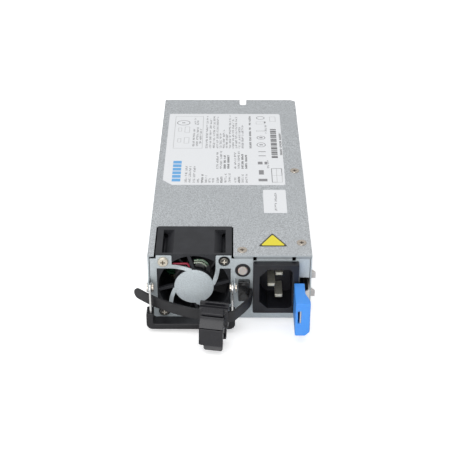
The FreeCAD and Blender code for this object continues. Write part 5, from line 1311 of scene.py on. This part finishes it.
    def ring(self, x: float, y: float, across: float, along: float,
             stroke: float = 0.45) -> bpy.types.Object:
        """A ruled oval."""
        self.bench.clear()
        bpy.ops.mesh.primitive_circle_add(vertices=40, radius=1.0, fill_type="NGON",
                                          location=(x * MM, y * MM,
                                                    (self.film_top + self.ink) * MM))
        piece = bpy.context.object
        piece.scale = (across * MM, along * MM, 1.0)
        self.bench.settle(piece, "print_ring")
        self.hollow(piece, stroke)
        return piece

    def hollow(self, piece: bpy.types.Object, stroke: float) -> None:
        """Leaves only a rim of a printed shape."""
        self.bench.pick(piece, Part.FACE, lambda middle, normal: True)
        self.bench.inset(stroke)
        bpy.ops.mesh.delete(type="FACE")
        self.bench.clear()

    def bar_places(self) -> Iterator[tuple[float, float, float, float]]:
        """Plain bars in a repeated rhythm of three, one after the other along Y."""
        left, low, right, high = self.bars
        for step in range(int((high - low) / self.bar_pitch)):
            start = low + step * self.bar_pitch
            yield left, start, right, start + self.bar_pitch * (0.85, 0.45, 0.6)[step % 3]

    def mark_places(self) -> Iterator[tuple[float, float, float, float]]:
        """A row of equal plain blocks."""
        left, low, right, high = self.mark
        for step in range(round((high - low) / self.mark_pitch)):
            start = low + step * self.mark_pitch
            yield left, start, right, start + self.mark_pitch * 0.78

    def lay(self, name: str, shapes: list[bpy.types.Object], finish: Finish) -> None:
        """Joins printed shapes and gives them the ink's thickness."""
        ink = self.bench.join(name, shapes)
        self.bench.modify(ink, "SOLIDIFY", thickness=self.ink * MM, offset=-1.0)
        self.bench.finish(ink, "chassis", finish, "label_paper")

    def triangle(self) -> None:
        """A blank yellow triangle inside a dark border."""
        bench = self.bench
        base = bench.trace("triangle_sticker", 0.0)
        low, high = base.bound_box[0], base.bound_box[6]
        face = bench.copy(base)
        face.name = "triangle_face"
        bench.pick(face, Part.FACE, lambda middle, normal: True)
        third = (2 * low[1] + high[1]) / 3
        bpy.ops.transform.resize(value=(self.border, self.border, 1.0),
                                 center_override=((low[0] + high[0]) / 2, third, 0))
        bpy.ops.transform.translate(value=(0, 0, self.ink * MM))
        bench.clear()
        bench.finish(base, "chassis", Finish.BORDER, "yellow_label")
        bench.finish(face, "chassis", Finish.YELLOW, "yellow_label")


# ------------------------------------------------------------------ the studio


@dataclass
class Studio:
    """Pale floor, plain soft light and the camera."""

    camera_place: tuple[float, float, float] = (0.0, -0.5905, 0.3571)
    pitch: float = 31.15
    yaw: float = 0.29
    lens: float = 90.4
    sensor: float = 36.0
    sky: float = 0.62
    floor_size: float = 6.0
    floor_drop: float = 0.0002
    paper: float = 0.86
    paper_roughness: float = 0.9
    paper_glow: float = 0.42
    lamps: tuple[tuple[str, tuple[float, float, float], float, float], ...] = (
        ("overhead", (-0.1, 0.02, 1.2), 1.5, 7.2),
        ("front", (-0.25, -1.1, 0.45), 0.9, 5.6),
    )

    def build(self) -> None:
        """Sets up the floor, the lamps, the world and the camera."""
        self.floor()
        self.world()
        for lamp in self.lamps:
            self.lamp(*lamp)
        self.camera()
        settings = bpy.context.scene.view_settings
        settings.view_transform = "Standard"

    def floor(self) -> None:
        """A pale sheet that keeps the object's shadow and reads as white."""
        bpy.ops.mesh.primitive_plane_add(size=self.floor_size,
                                         location=(0, 0, -self.floor_drop))
        floor = bpy.context.object
        floor.name = "studio_floor"
        graph = Graph("studio_paper")
        graph.set(Base_Color=(self.paper,) * 3, Roughness=self.paper_roughness)
        rays = graph.nodes.new("ShaderNodeLightPath")
        glow = graph.nodes.new("ShaderNodeEmission")
        glow.inputs["Color"].default_value = (1, 1, 1, 1)
        seen = graph.math("MULTIPLY", rays.outputs["Is Camera Ray"],
                          self.paper_glow)
        graph.links.new(seen, glow.inputs["Strength"])
        both = graph.nodes.new("ShaderNodeAddShader")
        graph.links.new(graph.shader.outputs[0], both.inputs[0])
        graph.links.new(glow.outputs[0], both.inputs[1])
        graph.links.new(both.outputs[0], graph.nodes["Material Output"].inputs["Surface"])
        floor.data.materials.append(graph.material)

    def world(self) -> None:
        """An even white surround: full to the eye and through transmission, lower as light and
        in gloss.
        """
        world = bpy.data.worlds.new("studio_surround")
        world.use_nodes = True
        bpy.context.scene.world = world
        nodes, links = world.node_tree.nodes, world.node_tree.links
        back = nodes["Background"]
        back.inputs["Color"].default_value = (1, 1, 1, 1)
        rays = nodes.new("ShaderNodeLightPath")
        seen = nodes.new("ShaderNodeMath")
        seen.operation = "MAXIMUM"
        links.new(rays.outputs["Is Camera Ray"], seen.inputs[0])
        links.new(rays.outputs["Is Transmission Ray"], seen.inputs[1])
        level = nodes.new("ShaderNodeMapRange")
        level.inputs["To Min"].default_value = self.sky
        level.inputs["To Max"].default_value = 1.0
        links.new(seen.outputs[0], level.inputs["Value"])
        links.new(level.outputs["Result"], back.inputs["Strength"])

    def lamp(self, name: str, place: Place, size: float, power: float) -> None:
        """A square soft lamp that faces the object."""
        data = bpy.data.lights.new(name, "AREA")
        data.size = size
        data.energy = power
        lamp = bpy.data.objects.new(name, data)
        bpy.context.scene.collection.objects.link(lamp)
        lamp.location = place
        lamp.rotation_euler = (-Vector(place)).to_track_quat("-Z", "Y").to_euler()

    def camera(self) -> None:
        """The camera, a little above and in front of the panel."""
        data = bpy.data.cameras.new("camera")
        data.lens = self.lens
        data.sensor_width = self.sensor
        camera = bpy.data.objects.new("camera", data)
        bpy.context.scene.collection.objects.link(camera)
        camera.location = self.camera_place
        camera.rotation_euler = (math.radians(90 - self.pitch), 0, math.radians(self.yaw))
        bpy.context.scene.camera = camera


def main() -> None:
    """Builds every sub-assembly in order, then the studio."""
    logging.basicConfig(level=logging.INFO, format="%(message)s", stream=sys.stdout)
    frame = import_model()
    bench = Bench(frame["nodes"])
    for assembly in (Casing, FanUnit, MainsInlet, StatusLamp, StrapAnchor, BailHandle,
                     CordStrap, CordClip, SideLatch, CoverLabels, Electronics):
        LOG.info("building %s", assembly.__name__)
        assembly(bench).build()
    bench.clear()
    Studio().build()


if __name__ == "__main__":
    main()
